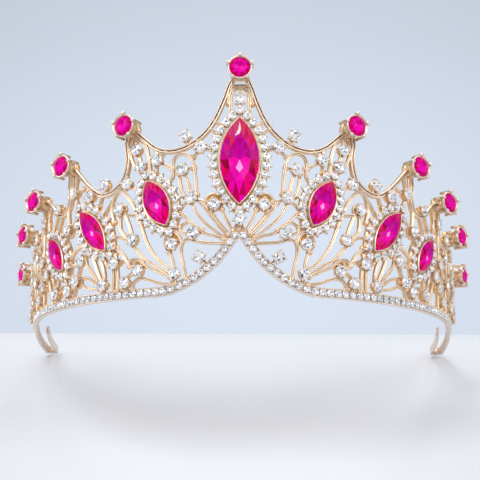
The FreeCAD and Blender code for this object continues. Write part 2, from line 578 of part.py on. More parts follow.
def rail(side):
    """Half the rail: its side of the pointed arch with one stalk, the level run and the turned end."""
    centre = side * ARCH_END / 2
    shell = wall(STRIP_BACK, STRIP_FRONT)
    arch = on_wall([ribbon(flat(mirrored(ARCH, side), centre), STRIP_HEIGHT)], [], centre, shell)[0]
    own_side = Part.makeBox(100, 200, TOP, V(0 if side > 0 else -100, -100, 0))
    return [arch.common(own_side).multiFuse([side_strip(side)] + rail_arm(side, centre)).removeSplitter()]


def placed(shape, places, out=0.0):
    """Copies of a stone or cup set up on the wall at each (u, v)."""
    copies = []
    for u, v in places:
        copy = shape.copy()
        copy.Placement = stand(u, v, out)
        copies.append(copy)
    return copies


def spire_stones(stone, numbers, side):
    copies = []
    for number in numbers:
        copy = stone.copy()
        copy.Placement = spire_stand(number, side)
        copies.append(copy)
    return copies


def write(name, solids):
    shape = solids[0] if len(solids) == 1 else Part.makeCompound(solids)
    shape.exportStep(f"parts/{name}.step")
    bad = [i for i, solid in enumerate(solids) if not solid.isValid() or solid.Volume <= 0]
    print(f"{name}: {len(solids)} solids, {shape.Volume:.1f} mm3", f"invalid {bad}" if bad else "")


def write_pair(name, solids):
    """Write left-hand solids and their mirror image."""
    write(f"left_{name}", solids)
    write(f"right_{name}", [solid.mirror(V(0, 0, 0), V(1, 0, 0)) for solid in solids])


def main():
    os.makedirs("parts", exist_ok=True)
    shell = wall(WALL_BACK, WALL_FRONT)
    outside = wall(WALL_FRONT, 3 * SPIRE_TOP)
    halo_top = WALL_FRONT + HALO_BAND
    halo_shell = wall(WALL_FRONT, halo_top)
    small_stone = round_stone(HALO_STONE, 0.75, 0.8, 6)
    rail_stone = round_stone(RAIL_STONE, 0.9, 0.8, 6)
    rail_cup = cup(RAIL_STONE / 2 + 0.18, 0, 0.75, 0.15, 0.6)
    accent_stone = round_stone(ACCENT_STONE, WALL_FRONT + 1.3, 1.0)
    spire_stone = round_stone(SPIRE_STONE, SPIRE_TOP - 0.4, 3.2)
    accent_setting = accent_cup()

    write("centre_panel", panel(0, 1, shell))
    write("centre_point_cup", spire_settings([0], 1, outside))
    write("centre_point_stone", spire_stones(spire_stone, [0], 1))
    write("centre_clear_cups", placed(accent_setting, CENTRE_ACCENTS))
    write("centre_clear_stones", placed(accent_stone, CENTRE_ACCENTS))
    write_pair("rail", rail(-1))
    for number in range(1, len(SPIRES)):
        write_pair(f"panel_{number}", panel(number, -1, shell))
    sides = range(1, len(SPIRES))
    for side, hand in ((-1, "left"), (1, "right")):
        places = rail_places(side)
        write(f"{hand}_rail_cups", placed(rail_cup, places, STRIP_FRONT))
        write(f"{hand}_rail_stones", placed(rail_stone, places, STRIP_FRONT))
        write(f"{hand}_point_cups", spire_settings(sides, side, outside))
        write(f"{hand}_point_stones", spire_stones(spire_stone, sides, side))
        clear = [place for places in ACCENTS for place in mirrored(places, side)]
        write(f"{hand}_clear_cups", placed(accent_setting, clear))
        write(f"{hand}_clear_stones", placed(accent_stone, clear))
    for index in range(len(MARQUISES)):
        for side, hand in ((-1, "left"), (1, "right")) if index else ((1, "centre"),):
            name = f"{hand}_marquise_{index}" if index else "centre_marquise"
            u, v, length, width, lean = marquise_pose(index, side)
            collar, stone = bezel(index), marquise_stone(length, width, MARQUISE_TOP, 2.6)
            for shape, kind in ((collar, "collar"), (stone, "stone")):
                shape.Placement = stand(u, v, 0, lean)
                write(f"{name}_{kind}", [shape])
            write(f"{name}_halo", halo_setting(index, side, halo_shell))
            write(f"{name}_halo_stones", placed(small_stone, halo_places(index, side), halo_top))


main()
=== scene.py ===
"""Looks for the filigree tiara: grooved gilt wires, prong-set stones and a turned-in strip.

Places on the crown are given in millimetres by u, the distance along the bent wall from the
centre, v, the height above the rail's underside, and out, the distance outwards from the wall.
The right half is listed and the left half is its mirror image.
"""
import math

import bpy
import numpy as np
from mathutils import Matrix, Vector


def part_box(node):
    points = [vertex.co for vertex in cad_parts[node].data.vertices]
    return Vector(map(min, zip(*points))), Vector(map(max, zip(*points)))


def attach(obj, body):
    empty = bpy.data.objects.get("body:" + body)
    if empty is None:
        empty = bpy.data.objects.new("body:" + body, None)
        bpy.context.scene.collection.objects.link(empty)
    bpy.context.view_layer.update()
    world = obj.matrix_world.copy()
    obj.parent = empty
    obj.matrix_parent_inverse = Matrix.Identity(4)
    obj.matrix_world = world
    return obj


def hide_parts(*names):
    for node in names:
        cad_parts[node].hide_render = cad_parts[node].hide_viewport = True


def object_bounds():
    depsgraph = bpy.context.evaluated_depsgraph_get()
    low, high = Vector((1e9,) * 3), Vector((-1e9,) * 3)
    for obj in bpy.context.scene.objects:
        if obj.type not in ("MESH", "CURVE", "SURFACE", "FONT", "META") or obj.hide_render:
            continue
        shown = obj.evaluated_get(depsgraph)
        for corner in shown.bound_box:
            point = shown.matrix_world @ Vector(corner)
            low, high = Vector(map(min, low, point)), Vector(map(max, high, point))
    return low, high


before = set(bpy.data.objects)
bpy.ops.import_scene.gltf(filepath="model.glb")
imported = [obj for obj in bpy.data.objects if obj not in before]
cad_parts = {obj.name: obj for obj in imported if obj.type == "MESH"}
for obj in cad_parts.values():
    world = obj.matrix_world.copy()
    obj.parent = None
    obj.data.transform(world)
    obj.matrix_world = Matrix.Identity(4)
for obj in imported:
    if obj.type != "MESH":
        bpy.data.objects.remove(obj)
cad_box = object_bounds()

MM = 0.001

# ---- sizes, mm ----
# the same as in the CAD
FRONT_RADIUS = 68.8
FRONT_TURN = 1.38
SIDE_RADIUS = 480.0
STRIP_END = 168.0
WALL_BACK, WALL_FRONT = -0.3, 1.5
STRIP_BACK, STRIP_FRONT = -0.5, 0.4
STRIP_HEIGHT = 2.6
LOOP_RADIUS = 1.75
LOOP_RETURN = 52.0
SPIRE_STONE, SPIRE_OUT, SPIRE_TOP = 6.2, 6.0, 7.1
HALO_STONE, HALO_OFFSET, HALO_PITCH = 2.1, 2.2, 2.75
MARQUISE_TOP = 3.4
BEZEL_WALL = 0.5
ACCENT_STONE = 3.4
RAIL_STONE, RAIL_PITCH, RAIL_STONES_END = 2.0, 2.45, 118.0
WIRE, FRAME = 1.0, 1.35

# what the looks add to the frame's sizes
WIRE_BACK = 0.4                            # the wires' own backs, in front of the plate's
FRAME_BACK, FRAME_RISE = 0.1, 0.25         # the outline wire's back, and its front past the wall's
HOLE_RING, HOLE_RING_WIDTH, HOLE_RING_DROP = 1.6, 3.1, 0.2    # band round a marquise's hole
COLLAR_DROP, COLLAR_THIN = 0.85, 0.05      # collar's rim below the stone's top, and off its wall
STONE_LAP = (0.9, 0.4)                     # extra length and width of a marquise, run into its collar
HALO_DRAW, HALO_SWELL, HALO_EDGE = 0.12, 0.2, 1.0    # stones drawn in, their extra size, the teeth
RAIL_SPREAD, RAIL_RISE, RAIL_SWELL = 0.3, 0.45, 0.25    # extra on the strip and on its stones

# the camera fitted to the photo: mm, then radians, then the lens in mm
CAMERA_DISTANCE, CAMERA_DROP, CAMERA_SIDE = 353.2, 63.7, 5.54
CAMERA_PITCH, CAMERA_YAW, CAMERA_ROLL = 0.222, -0.015, -0.006
CAMERA_LENS = 93.8

rng = np.random.default_rng(7)

# ---- the design ----
SPIRES = [(0, 66.8), (33.3, 51.5), (57.8, 43.6), (76.1, 36.4), (94.2, 29.4), (111.7, 19.6)]
SPIRE_FACING = [0, 27.7, 35, 42, 54, 66]  # degrees round from straight ahead
MARQUISES = [
    ((0, 26.75), (0, 52.15), 11.0),
    ((21.3, 21), (27.1, 34.2), 7.0),
    ((41.7, 15.5), (52.0, 28.1), 6.5),
    ((60.8, 12.1), (69.5, 22.5), 6.0),
]
ACCENTS = [  # clear stones in small cups, by panel, on the right half
    [(15.8, 47.5), (11.3, 43.8), (16.6, 37.2), (24.4, 40.8), (31.2, 44.7), (29.7, 39.3), (13.9, 28.6),
     (7.1, 26.4), (13.2, 18), (19.4, 15), (18.6, 6.2), (11.3, 10.8)],
    [(34.2, 34.6), (42.5, 35.4), (48.6, 32.8), (56.1, 35.2), (36.8, 27), (31.9, 17.3), (29.8, 7.8),
     (34.2, 4.6), (38.2, 10.8), (42.4, 4.6)],
    [(59, 23.9), (65, 31.8), (75.8, 29.6), (51.8, 13.2), (54, 7.2), (57.8, 4.6), (64.8, 4.8),
     (72, 12), (76.7, 16.6), (75.2, 8.6)],
    [(78.4, 4.8), (84.5, 26.2), (82.5, 19.5), (84, 11.5), (89, 5), (92.5, 22.6), (93, 14.5)],
    [(98.5, 8.5), (103, 19.4), (104.5, 5), (110, 13.8), (114.5, 5.2), (119.5, 9.4)],
]
CENTRE_ACCENTS = [(0, 58.3), (0, 21.9)]
RAIL_ARM = [(11.3, 10.8), (8.8, 8.8)]    # stalk from one clear stone's seat down to the rail

# the rail's pointed arch, from the level stretch up past the middle
ARCH = [(26, 1.3), (22.1, 1.45), (17.6, 2.75), (13.5, 4.7), (9.5, 7.45), (6.1, 10.7), (3.2, 14.5),
        (1.3, 17.4), (-0.3, 19.9)]

# ---- filigree wires by panel, as points along each centreline ----
CENTRE_WIRES = [
    [(3.3, 50), (2.8, 55), (2.75, 57.5), (2.6, 60), (1.6, 61.6), (0, 62.1), (-1.6, 61.6), (-2.6, 60),
     (-2.75, 57.5), (-2.8, 55), (-3.3, 50)],
    [(-2.4, 62.8), (2.4, 62.8)], [(0, 62.5), (0, 54)],
    [(3.4, 57), (3, 61), (2, 64.8)], [(-3.4, 57), (-3, 61), (-2, 64.8)],
    [(0, 22), (0, 18.6)],
]
FRAMES = [  # the scalloped top outline, one stretch between each two points
    [(0.6, 66), (2.85, 63.2), (4.7, 58), (7.3, 52), (10.2, 48), (14.6, 44.6), (20, 43.2), (24.8, 44.4),
     (29.5, 48.2), (32.6, 51)],
    [(34.4, 50.6), (34.9, 46.5), (34.4, 42), (35.6, 36.4), (39.3, 33.2), (44, 32.5), (49, 35.4),
     (54.5, 40.4), (57.2, 43)],
    [(58.8, 43), (59.3, 38), (58.9, 33.5), (60.4, 30.4), (63.2, 29.6), (67, 30.6), (71.5, 34), (75.4, 36)],
    [(77.2, 36), (77.8, 31), (77.6, 27), (79.2, 24), (82.4, 23), (86, 24.2), (90, 26.8), (93.6, 28.8)],
    [(95.2, 28.8), (95.8, 24.5), (96.2, 20.5), (98.4, 17.2), (101.8, 16), (106, 16.8), (111, 19)],
]
WIRES = [
    [   # panel 1, between the centre point and the next
        [(12.4, 29.6), (12.8, 34.3), (13.2, 37.6), (13.8, 39.9), (15.1, 41.7), (16.9, 42.4), (18.8, 41.7),
         (19.7, 39.9), (19.8, 38), (19.6, 35.6), (20.6, 33.8), (22.4, 33.2)],
        [(17.8, 36.4), (17.2, 32.2), (16, 29.2)], [(16.2, 36.2), (15, 33), (14.4, 30.2)],
        [(13.7, 41.1), (11.6, 43)], [(19.7, 37.9), (16.5, 37.5), (13.4, 37.8)],
        [(11.3, 43.8), (7.6, 42.8)], [(11.3, 43.8), (12.4, 46)],
        [(7.3, 52), (5.2, 50.2)], [(8.8, 49.8), (6.6, 48)],
        [(15.8, 47.5), (14.9, 45.2)], [(24.4, 40.8), (22.2, 39.3), (19.8, 37.9)],
        [(24.2, 41), (22, 43.4)], [(24.6, 41.4), (25, 44.2)], [(24.5, 40.6), (24.9, 37.2)],
        [(32.1, 48.6), (29.7, 47.1), (28.3, 45.3), (27.6, 42.8), (27.1, 40.6), (26.7, 37)],
        [(33.2, 48.4), (33.6, 45.3), (33.4, 42.8), (32.1, 40), (30, 38)],
        [(31.8, 48.2), (31.2, 44.7), (29.6, 39.3), (28.4, 35.6)],
        [(14, 28.4), (17.2, 25.9)], [(13.6, 28.2), (9.6, 27.2)],
        [(14, 27.6), (12.3, 24), (9.6, 20.9), (7.1, 18.8), (4.6, 16.7)],
        [(10.8, 27), (9.4, 24.6), (7.4, 22), (5.4, 19.4), (3.2, 17.4)],
        [(8.1, 24.6), (6.5, 22.2), (4.6, 19.8), (2.9, 17.6)],
        [(5, 25), (3.9, 22.6), (2.8, 20.3), (1.7, 18.6)],
        [(17.8, 24.6), (16.2, 23.7), (14.3, 21.5), (12, 19.6), (9.6, 17.9), (7.1, 17.2), (4.2, 16)],
        [(14.4, 16.8), (13.3, 16), (11.3, 15.4), (8.9, 15.1), (5.4, 14.9), (3.8, 15)],
        [(17.5, 19.9), (16.3, 20.9), (15.2, 21.4), (13.9, 21.3), (12.3, 20.1), (10.9, 18.8)],
        [(17.5, 19.9), (16.5, 18.5), (14.4, 17.6)], [(16.7, 15.5), (14.2, 16.8)],
        [(20.4, 12.9), (21.6, 14.6), (21.7, 16.5), (20.5, 18.2), (18.6, 18.6), (17, 16.7), (16.7, 14.8),
         (16.8, 12.1), (16.1, 8.9), (15.2, 4.6)],
        [(20.4, 12.9), (19.4, 10.4), (18.7, 6.2), (18.4, 3.2)],
        [(29.8, 22.6), (28.7, 19.4), (27.7, 16.7), (26.1, 13.8), (23.6, 10.7), (19.8, 7.4)],
        [(29.6, 22.2), (26.6, 22.4)],
    ],
    [   # panel 2
        [(30.9, 31.8), (33.4, 34.6), (35.6, 36.4)],
        [(29.6, 21.7), (30.4, 23.5), (31.2, 25.6), (32.3, 27.9), (33.7, 29.9), (35.4, 31.8), (37.1, 32.8),
         (38.8, 31.8), (40, 28), (39, 23.4)],
        [(20.2, 5.9), (22.1, 7.4), (25.5, 9.7), (28.3, 11.5), (30.9, 14.2), (33.1, 16.5), (35.6, 19.6),
         (36.7, 21.4), (37, 27)],
        [(32.2, 17.4), (33, 20.5), (34.1, 23.2), (35.2, 25.4), (36.6, 27)],
        [(30.7, 24.6), (34.4, 25.3), (36.8, 26.6)], [(33.9, 17.1), (36.6, 18.6), (39, 18.8)],
        [(20.2, 5.5), (25.5, 8.1), (27.7, 9.4), (29.5, 10.9), (31.3, 11.5), (32.9, 11), (33.4, 9.7)],
        [(33, 10.6), (36.4, 11.4), (39, 13)],
        [(19.8, 3.2), (23.5, 3.9), (26.4, 5), (29.4, 5.7), (31.6, 4.4), (32, 2.4)],
        [(29.8, 7.9), (33, 9.6), (35.4, 13.2), (38, 15.6)],
        [(29.4, 9), (33.6, 6.2), (34.2, 2.4)], [(38.2, 13.6), (37.4, 8.8), (36.8, 2.4)],
        [(38.9, 11), (38.8, 2.4)], [(43, 14.2), (41, 10.8), (36.4, 10.8)],
        [(42.6, 2.4), (42.2, 8), (44.4, 14.4)],
        [(42.6, 4.6), (45.2, 9.8), (47.6, 15.4)], [(43.6, 5), (47, 8.5), (50.2, 12.6), (50, 18)],
        [(44, 4.4), (49, 7.5), (54, 8.6)], [(42.8, 3.6), (49, 4.6), (54, 7)],
        [(42.5, 35.4), (42.2, 32.6)], [(37, 33.8), (41, 29), (43.2, 25.6)], [(44, 32.8), (45, 29.4)],
        [(48.6, 32.8), (50, 29.4)],
        [(49, 35.4), (48.6, 32.8)], [(55.4, 40.6), (56.4, 35.4), (54.2, 29.2)], [(56.2, 35), (52.6, 36)],
        [(56, 35.2), (59.2, 34.6)],
    ],
    [   # panel 3
        [(53.6, 24.8), (59, 23.8), (61, 18)], [(59, 23.8), (60, 30.6)], [(59, 23.8), (64.6, 24)],
        [(54.6, 28), (59, 23.8)], [(50.6, 18.6), (54.6, 17.4), (58.4, 14.6)],
        [(51.8, 13.2), (55, 12.6), (59, 12.2)],
        [(48.6, 16.4), (51.8, 13.2), (54, 7.2), (55.4, 2.4)], [(54, 7.2), (58, 9.4), (59.6, 11)],
        [(57.8, 2.4), (57.8, 5), (61, 9.6)], [(57.8, 4.8), (62, 6.6), (64.8, 4.8)],
        [(64.8, 2.4), (64.6, 9.4)],
        [(64.8, 4.8), (68, 9), (68.6, 12.6)], [(68, 2.4), (70.6, 8), (72, 12), (70.4, 16)],
        [(72, 12), (75.2, 8.6), (75.4, 2.4)], [(66.6, 30.4), (69.6, 25)],
        [(72, 34), (73.4, 28.6), (71.4, 23.2)],
        [(73.4, 28.6), (77.8, 29.6)], [(63.4, 29.6), (65.6, 24.4)],
        [(72.6, 19.6), (76.6, 16.8), (77.4, 23), (77.8, 28)],
        [(72, 12), (76.6, 16.8)],
    ],
    [   # panel 4
        [(77.2, 17), (82.5, 19.5), (83, 23)], [(82.5, 19.5), (87.4, 19.4), (92.4, 22.6), (95.8, 24)],
        [(75.4, 8.6), (79.4, 12.4), (82.5, 19.5)], [(78.4, 2.4), (78.4, 5), (81, 9), (84, 11.5)],
        [(84, 11.5), (86.6, 15.6), (87.4, 19.4)], [(84, 11.5), (88.8, 11.8), (93, 14.5), (92.4, 22.6)],
        [(84.4, 2.4), (84, 11.5)], [(89, 2.4), (89, 5), (91.4, 10), (93, 14.5)],
        [(86, 24), (87.4, 19.4)], [(84.5, 26.2), (84.6, 23.4)],
        [(89, 5), (94, 6.8), (98.5, 8.5)], [(78.4, 4.8), (84, 6)], [(90.4, 27.2), (92.4, 22.6)],
        [(76.6, 16.8), (80, 15.4), (84, 11.5)],
    ],
    [   # panel 5, falling to the rail
        [(93, 14.5), (96.8, 18.6)], [(95.4, 2.4), (98.5, 8.5), (98.4, 13), (98.6, 17.2)],
        [(98.5, 8.5), (103, 12), (103.4, 19)], [(103.4, 12.4), (106.6, 14), (110, 13.8), (110.4, 20)],
        [(104.5, 2.4), (104.5, 5), (106.4, 9.6), (110, 13.8)],
        [(98.5, 8.5), (104.5, 5), (110, 6.4), (114.5, 5)],
        [(110, 13.8), (114.4, 12.8), (119.5, 9.4), (122.4, 5.6), (123.4, 2.4)],
        [(112.4, 19), (116.6, 15), (119.5, 9.4)],
        [(114.5, 2.4), (114.5, 5), (119.5, 9.4)], [(93, 14.5), (98.5, 8.5)],
        [(109.6, 2.4), (110, 6.4), (110, 13.8)],
    ],
]

PLATES = [  # solid rounds of the filigree, (u, v, radius) by panel
    [(7.4, 27.2, 3.0), (19.3, 16.6, 2.1)], [(29.9, 9.4, 2.2), (36.8, 27, 2.3)],
    [(59, 23.9, 2.5), (76.7, 16.6, 2.4), (72, 12, 2.3), (54, 7.2, 2.2)],
    [(82.5, 19.5, 2.4), (84, 11.5, 2.3), (93, 14.5, 2.4), (92.5, 22.6, 2.2)],
    [(98.5, 8.5, 2.4), (103, 19.4, 2.2), (110, 13.8, 2.4)],
]


def plan(u, out=0.0):
    """Plan x, y (mm) and turn of the wall at u, for numbers or arrays."""
    u = np.asarray(u, float)
    along = np.abs(u)
    join = FRONT_RADIUS * FRONT_TURN
    turn = np.where(along > join, FRONT_TURN + (along - join) / SIDE_RADIUS, along / FRONT_RADIUS)
    bend = np.minimum(turn, FRONT_TURN)
    x = FRONT_RADIUS * np.sin(bend) + SIDE_RADIUS * (np.sin(turn) - np.sin(bend))
    y = FRONT_RADIUS * (1 - np.cos(bend)) + SIDE_RADIUS * (np.cos(bend) - np.cos(turn))
    side = np.where(u < 0, -1.0, 1.0)
    return side * (x + out * np.sin(turn)), y - out * np.cos(turn), side * turn


strip_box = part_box("left_rail")
STRIP_MIDDLE = (STRIP_BACK + STRIP_FRONT) / 2
REAR = plan(STRIP_END, STRIP_MIDDLE - LOOP_RADIUS)[1] + LOOP_RADIUS + (STRIP_FRONT - STRIP_BACK) / 2
Y_SHIFT = strip_box[1].y / MM - float(REAR)
Z_BASE = strip_box[0].z / MM


def spot(u, v, out=0.0):
    """Points in metres for arrays of u, v and out."""
    out = np.asarray(out, float)
    x, y, _ = plan(u, out)
    z = np.broadcast_to(np.asarray(v, float) + Z_BASE, x.shape)
    return np.stack([x, y + Y_SHIFT, z], -1) * MM


def seat(u, v, out=0.0, lean=0.0):
    """Matrix that stands a piece built in mm, facing +z, on the wall."""
    turn = float(plan(u)[2])
    along = Vector((math.cos(turn), math.sin(turn), 0))
    outward = Vector((math.sin(turn), -math.cos(turn), 0))
    up = Vector((0, 0, 1))
    basis = Matrix((along, up, outward)).transposed().to_4x4()
    place = Matrix.Translation(Vector(spot(u, v, out)))
    return place @ basis @ Matrix.Rotation(lean, 4, "Z") @ Matrix.Scale(MM, 4)


def spire_seat(number, side):
    """Matrix for a point's stone, turned a little forwards about the stone's own middle."""
    u, v = SPIRES[number]
    facing = side * math.radians(SPIRE_FACING[number])
    along = Vector((math.cos(facing), math.sin(facing), 0))
    outward = Vector((math.sin(facing), -math.cos(facing), 0))
    basis = Matrix((along, Vector((0, 0, 1)), outward)).transposed().to_4x4()
    place = Vector(spot(side * u, v, SPIRE_OUT)) - outward * SPIRE_OUT * MM
    return Matrix.Translation(place) @ basis @ Matrix.Scale(MM, 4)


def spire_foot(number):
    """(u, v) on the right half where a point's cup meets the wall."""
    u, v = SPIRES[number]
    slew = float(plan(u)[2]) - math.radians(SPIRE_FACING[number])
    return u + (SPIRE_OUT - WALL_FRONT) * math.sin(slew), v


class Shape:
    """Faces gathered for one piece, with a colour to each face, which on the stones holds their painted
    light and shade, and to each vertex a painted shading value for the metal's painted shade and highlight.
    """

    def __init__(self):
        self.points, self.faces, self.relief, self.colours, self.sharp = [], [], [], [], []
        self.count = 0

    def add(self, points, faces, relief, colour=(1, 1, 1), flat=False, at=None):
        points = np.asarray(points, float)
        if at is not None:
            rotation = np.array(at.to_3x3())
            points = points @ rotation.T + np.array(at.translation)
        self.points.append(points)
        self.relief.append(np.broadcast_to(np.asarray(relief, float), (len(points),)))
        colours = colour if isinstance(colour, list) else [colour] * len(faces)
        for face, tint in zip(faces, colours):
            self.faces.append(tuple(self.count + i for i in face))
            self.colours.append(tint)
            self.sharp.append(flat)
        self.count += len(points)

    def make(self, name, material, slot, nodes):
        mesh = bpy.data.meshes.new(name)
        points = np.concatenate(self.points)
        mesh.from_pydata(points.tolist(), [], self.faces)
        relief = mesh.attributes.new("relief", "FLOAT", "POINT")
        relief.data.foreach_set("value", np.concatenate(self.relief).astype(np.float32))
        tint = mesh.attributes.new("facet", "FLOAT_COLOR", "CORNER")
        sizes = [len(face) for face in self.faces]
        rgba = np.ones((sum(sizes), 4), np.float32)
        rgba[:, :3] = np.repeat(np.array(self.colours, np.float32), sizes, axis=0)
        tint.data.foreach_set("color", rgba.ravel())
        mesh.polygons.foreach_set("use_smooth", [not flat for flat in self.sharp])
        mesh.validate()
        mesh.materials.append(material)
        piece = bpy.data.objects.new(name, mesh)
        bpy.context.scene.collection.objects.link(piece)
        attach(piece, "root")
        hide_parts(*nodes)


# ---- materials ----
NOISE_DETAIL = 3.0
PATCH_SCALE, PATCH_REACH = 420.0, 0.5    # uneven plating, and how far it shifts the painted shading value
GRAIN_SCALE, GRAIN_BUMP, GRAIN_DEPTH = 1600.0, 0.25, 0.0001
GROOVE_SHADE = 0.12                      # painted shade in a groove, as a part of the colour of the recesses
CLOUD_SCALE, CLOUD_DEPTH = 900.0, 0.12   # faint cloud in the glass
GLOSS_ROUGHNESS, GLOSS_INDEX = 0.02, 1.7


def new_material(name):
    material = bpy.data.materials.new(name)
    material.use_nodes = True
    tree = material.node_tree
    return material, tree.nodes, tree.links, tree.nodes["Principled BSDF"]


def ramp(nodes, stops):
    node = nodes.new("ShaderNodeValToRGB")
    while len(node.color_ramp.elements) < len(stops):
        node.color_ramp.elements.new(0.5)
    for element, (place, colour) in zip(node.color_ramp.elements, stops):
        element.position = place
        element.color = (*colour, 1)
    return node


def noise(nodes, links, scale):
    place = nodes.new("ShaderNodeTexCoord")
    node = nodes.new("ShaderNodeTexNoise")
    node.inputs["Scale"].default_value = scale
    node.inputs["Detail"].default_value = NOISE_DETAIL
    links.new(place.outputs["Object"], node.inputs["Vector"])
    return node


def plain_material(name, colour, rough):
    material, _, _, shader = new_material(name)
    shader.inputs["Base Color"].default_value = (*colour, 1)
    shader.inputs["Roughness"].default_value = rough
    return material


def gilt_material(name, recess_shade, middle, ridge_highlight, rough, metallic):
    """Cast and plated metal with painted light: by each vertex's painted shading value, a warm deeper orange
    painted shade in the recesses, near-black painted shade in the grooves and a paler painted highlight on
    the ridges; the plating softly uneven.
    """
    material, nodes, links, shader = new_material(name)
    relief = nodes.new("ShaderNodeAttribute")
    relief.attribute_name = "relief"
    patch = noise(nodes, links, PATCH_SCALE)
    mix = nodes.new("ShaderNodeMath")
    mix.operation = "MULTIPLY_ADD"
    mix.inputs[1].default_value = PATCH_REACH
    links.new(patch.outputs["Fac"], mix.inputs[0])
    links.new(relief.outputs["Fac"], mix.inputs[2])
    shift = nodes.new("ShaderNodeMath")
    shift.operation = "SUBTRACT"
    shift.inputs[1].default_value = PATCH_REACH / 2
    links.new(mix.outputs[0], shift.inputs[0])
    # painted shade in the grooves: a near-black part of the colour of the recesses
    groove = tuple(GROOVE_SHADE * c for c in recess_shade)
    colour = ramp(nodes, [(0.0, groove), (0.2, recess_shade), (0.5, middle), (1.0, ridge_highlight)])
    links.new(shift.outputs[0], colour.inputs["Fac"])
    links.new(colour.outputs["Color"], shader.inputs["Base Color"])
    shader.inputs["Metallic"].default_value = metallic
    grain = noise(nodes, links, GRAIN_SCALE)
    spread = nodes.new("ShaderNodeMapRange")
    spread.inputs["To Min"].default_value = rough[0]
    spread.inputs["To Max"].default_value = rough[1]
    links.new(grain.outputs["Fac"], spread.inputs["Value"])
    links.new(spread.outputs["Result"], shader.inputs["Roughness"])
    bump = nodes.new("ShaderNodeBump")
    bump.inputs["Strength"].default_value = GRAIN_BUMP
    bump.inputs["Distance"].default_value = GRAIN_DEPTH
    links.new(grain.outputs["Fac"], bump.inputs["Height"])
    links.new(bump.outputs["Normal"], shader.inputs["Normal"])
    return material


def stone_material(name, metallic, rough, coat, shine):
    """Foil-backed cut glass under a clear gloss: each facet takes a set colour, which holds the glass's tone
    and its painted reflections, highlights and shade.
    """
    material, nodes, links, shader = new_material(name)
    tint = nodes.new("ShaderNodeAttribute")
    tint.attribute_name = "facet"
    cloud = noise(nodes, links, CLOUD_SCALE)
    fade = nodes.new("ShaderNodeMapRange")
    fade.inputs["To Min"].default_value = 1 - CLOUD_DEPTH
    fade.inputs["To Max"].default_value = 1 + CLOUD_DEPTH
    links.new(cloud.outputs["Fac"], fade.inputs["Value"])
    mix = nodes.new("ShaderNodeVectorMath")
    mix.operation = "SCALE"
    links.new(tint.outputs["Color"], mix.inputs[0])
    links.new(fade.outputs["Result"], mix.inputs["Scale"])
    links.new(mix.outputs["Vector"], shader.inputs["Base Color"])
    shader.inputs["Metallic"].default_value = metallic
    shader.inputs["Roughness"].default_value = rough
    shader.inputs["Specular IOR Level"].default_value = shine
    shader.inputs["Coat Weight"].default_value = coat
    shader.inputs["Coat Roughness"].default_value = GLOSS_ROUGHNESS
    shader.inputs["Coat IOR"].default_value = GLOSS_INDEX
    return material


# gilt colours run from painted shade in the recesses to a painted highlight on the ridges
GILT = gilt_material("gilt", recess_shade=(1.0, 0.56, 0.18), middle=(0.82, 0.61, 0.42),
                     ridge_highlight=(0.87, 0.75, 0.62), rough=(0.30, 0.48), metallic=0.88)
STRIP_METAL = gilt_material("strip_metal", recess_shade=(0.62, 0.44, 0.32), middle=(0.74, 0.58, 0.47),
                            ridge_highlight=(0.86, 0.74, 0.64), rough=(0.34, 0.5), metallic=0.7)
ROSE = stone_material("rose_glass", metallic=0.0, rough=0.3, coat=0.03, shine=0.05)
CLEAR = stone_material("clear_glass", metallic=0.15, rough=0.06, coat=1.0, shine=0.5)


# ---- wires ----
def smooth_path(points, step=0.45):
    """Even points along a smooth curve through the listed ones."""
    points = np.array(points, float)
    if len(points) == 2:
        count = max(3, int(np.hypot(*(points[1] - points[0])) / step))
        return points[0] + np.linspace(0, 1, count)[:, None] * (points[1] - points[0])
    padded = np.vstack([2 * points[0] - points[1], points, 2 * points[-1] - points[-2]])
    t = np.linspace(0, 1, 16, endpoint=False)[:, None]
    spans = []
    for a, b, c, d in zip(padded, padded[1:], padded[2:], padded[3:]):
        spans.append(0.5 * (2 * b + (c - a) * t + (2 * a - 5 * b + 4 * c - d) * t ** 2
                            + (3 * b - a - 3 * c + d) * t ** 3))
    curve = np.vstack(spans + [points[-1:]])
    length = np.concatenate([[0], np.cumsum(np.hypot(*np.diff(curve, axis=0).T))])
    count = max(3, int(round(length[-1] / step)) + 1)
    at = np.linspace(0, length[-1], count)
    return np.stack([np.interp(at, length, curve[:, 0]), np.interp(at, length, curve[:, 1])], -1)


# (across, height, painted shading) round a wire: across is -1..1, height 0 is its back and 1 its front; the
# third value paints shade into the gilt colour where low, in grooves and on the back, and a highlight where
# high, on the ridges
GROOVED = [(-0.92, 0.0, 0.2), (-1.0, 0.45, 0.3), (-0.93, 0.78, 0.75), (-0.66, 1.0, 1.0),
           (-0.34, 0.94, 0.85), (0.0, 0.55, -0.1), (0.34, 0.94, 0.85), (0.66, 1.0, 1.0),
           (0.93, 0.78, 0.75), (1.0, 0.45, 0.3), (0.92, 0.0, 0.2), (0.4, -0.06, 0.45), (-0.4, -0.06, 0.45)]
ROUNDED = [(-0.9, 0.05, 0.2), (-1.0, 0.5, 0.45), (-0.72, 0.88, 0.8), (-0.3, 1.0, 1.0), (0.3, 1.0, 1.0),
           (0.72, 0.88, 0.8), (1.0, 0.5, 0.45), (0.9, 0.05, 0.2), (0.4, -0.05, 0.4), (-0.4, -0.05, 0.4)]
# the outline wire: a broad inner band, a groove darkened with painted shade and a thin outer rim at across =
# 1
RIMMED = [(-0.92, 0.0, 0.2), (-1.0, 0.45, 0.4), (-0.9, 0.78, 0.8), (-0.6, 0.9, 0.9), (-0.05, 0.9, 0.8),
          (0.1, 0.72, 0.2), (0.26, 0.35, -0.7), (0.42, 0.72, 0.1), (0.55, 1.0, 1.0), (0.86, 1.0, 1.0),
          (1.0, 0.6, 0.6), (0.92, 0.0, 0.3), (0.4, -0.06, 0.45), (-0.4, -0.06, 0.45)]
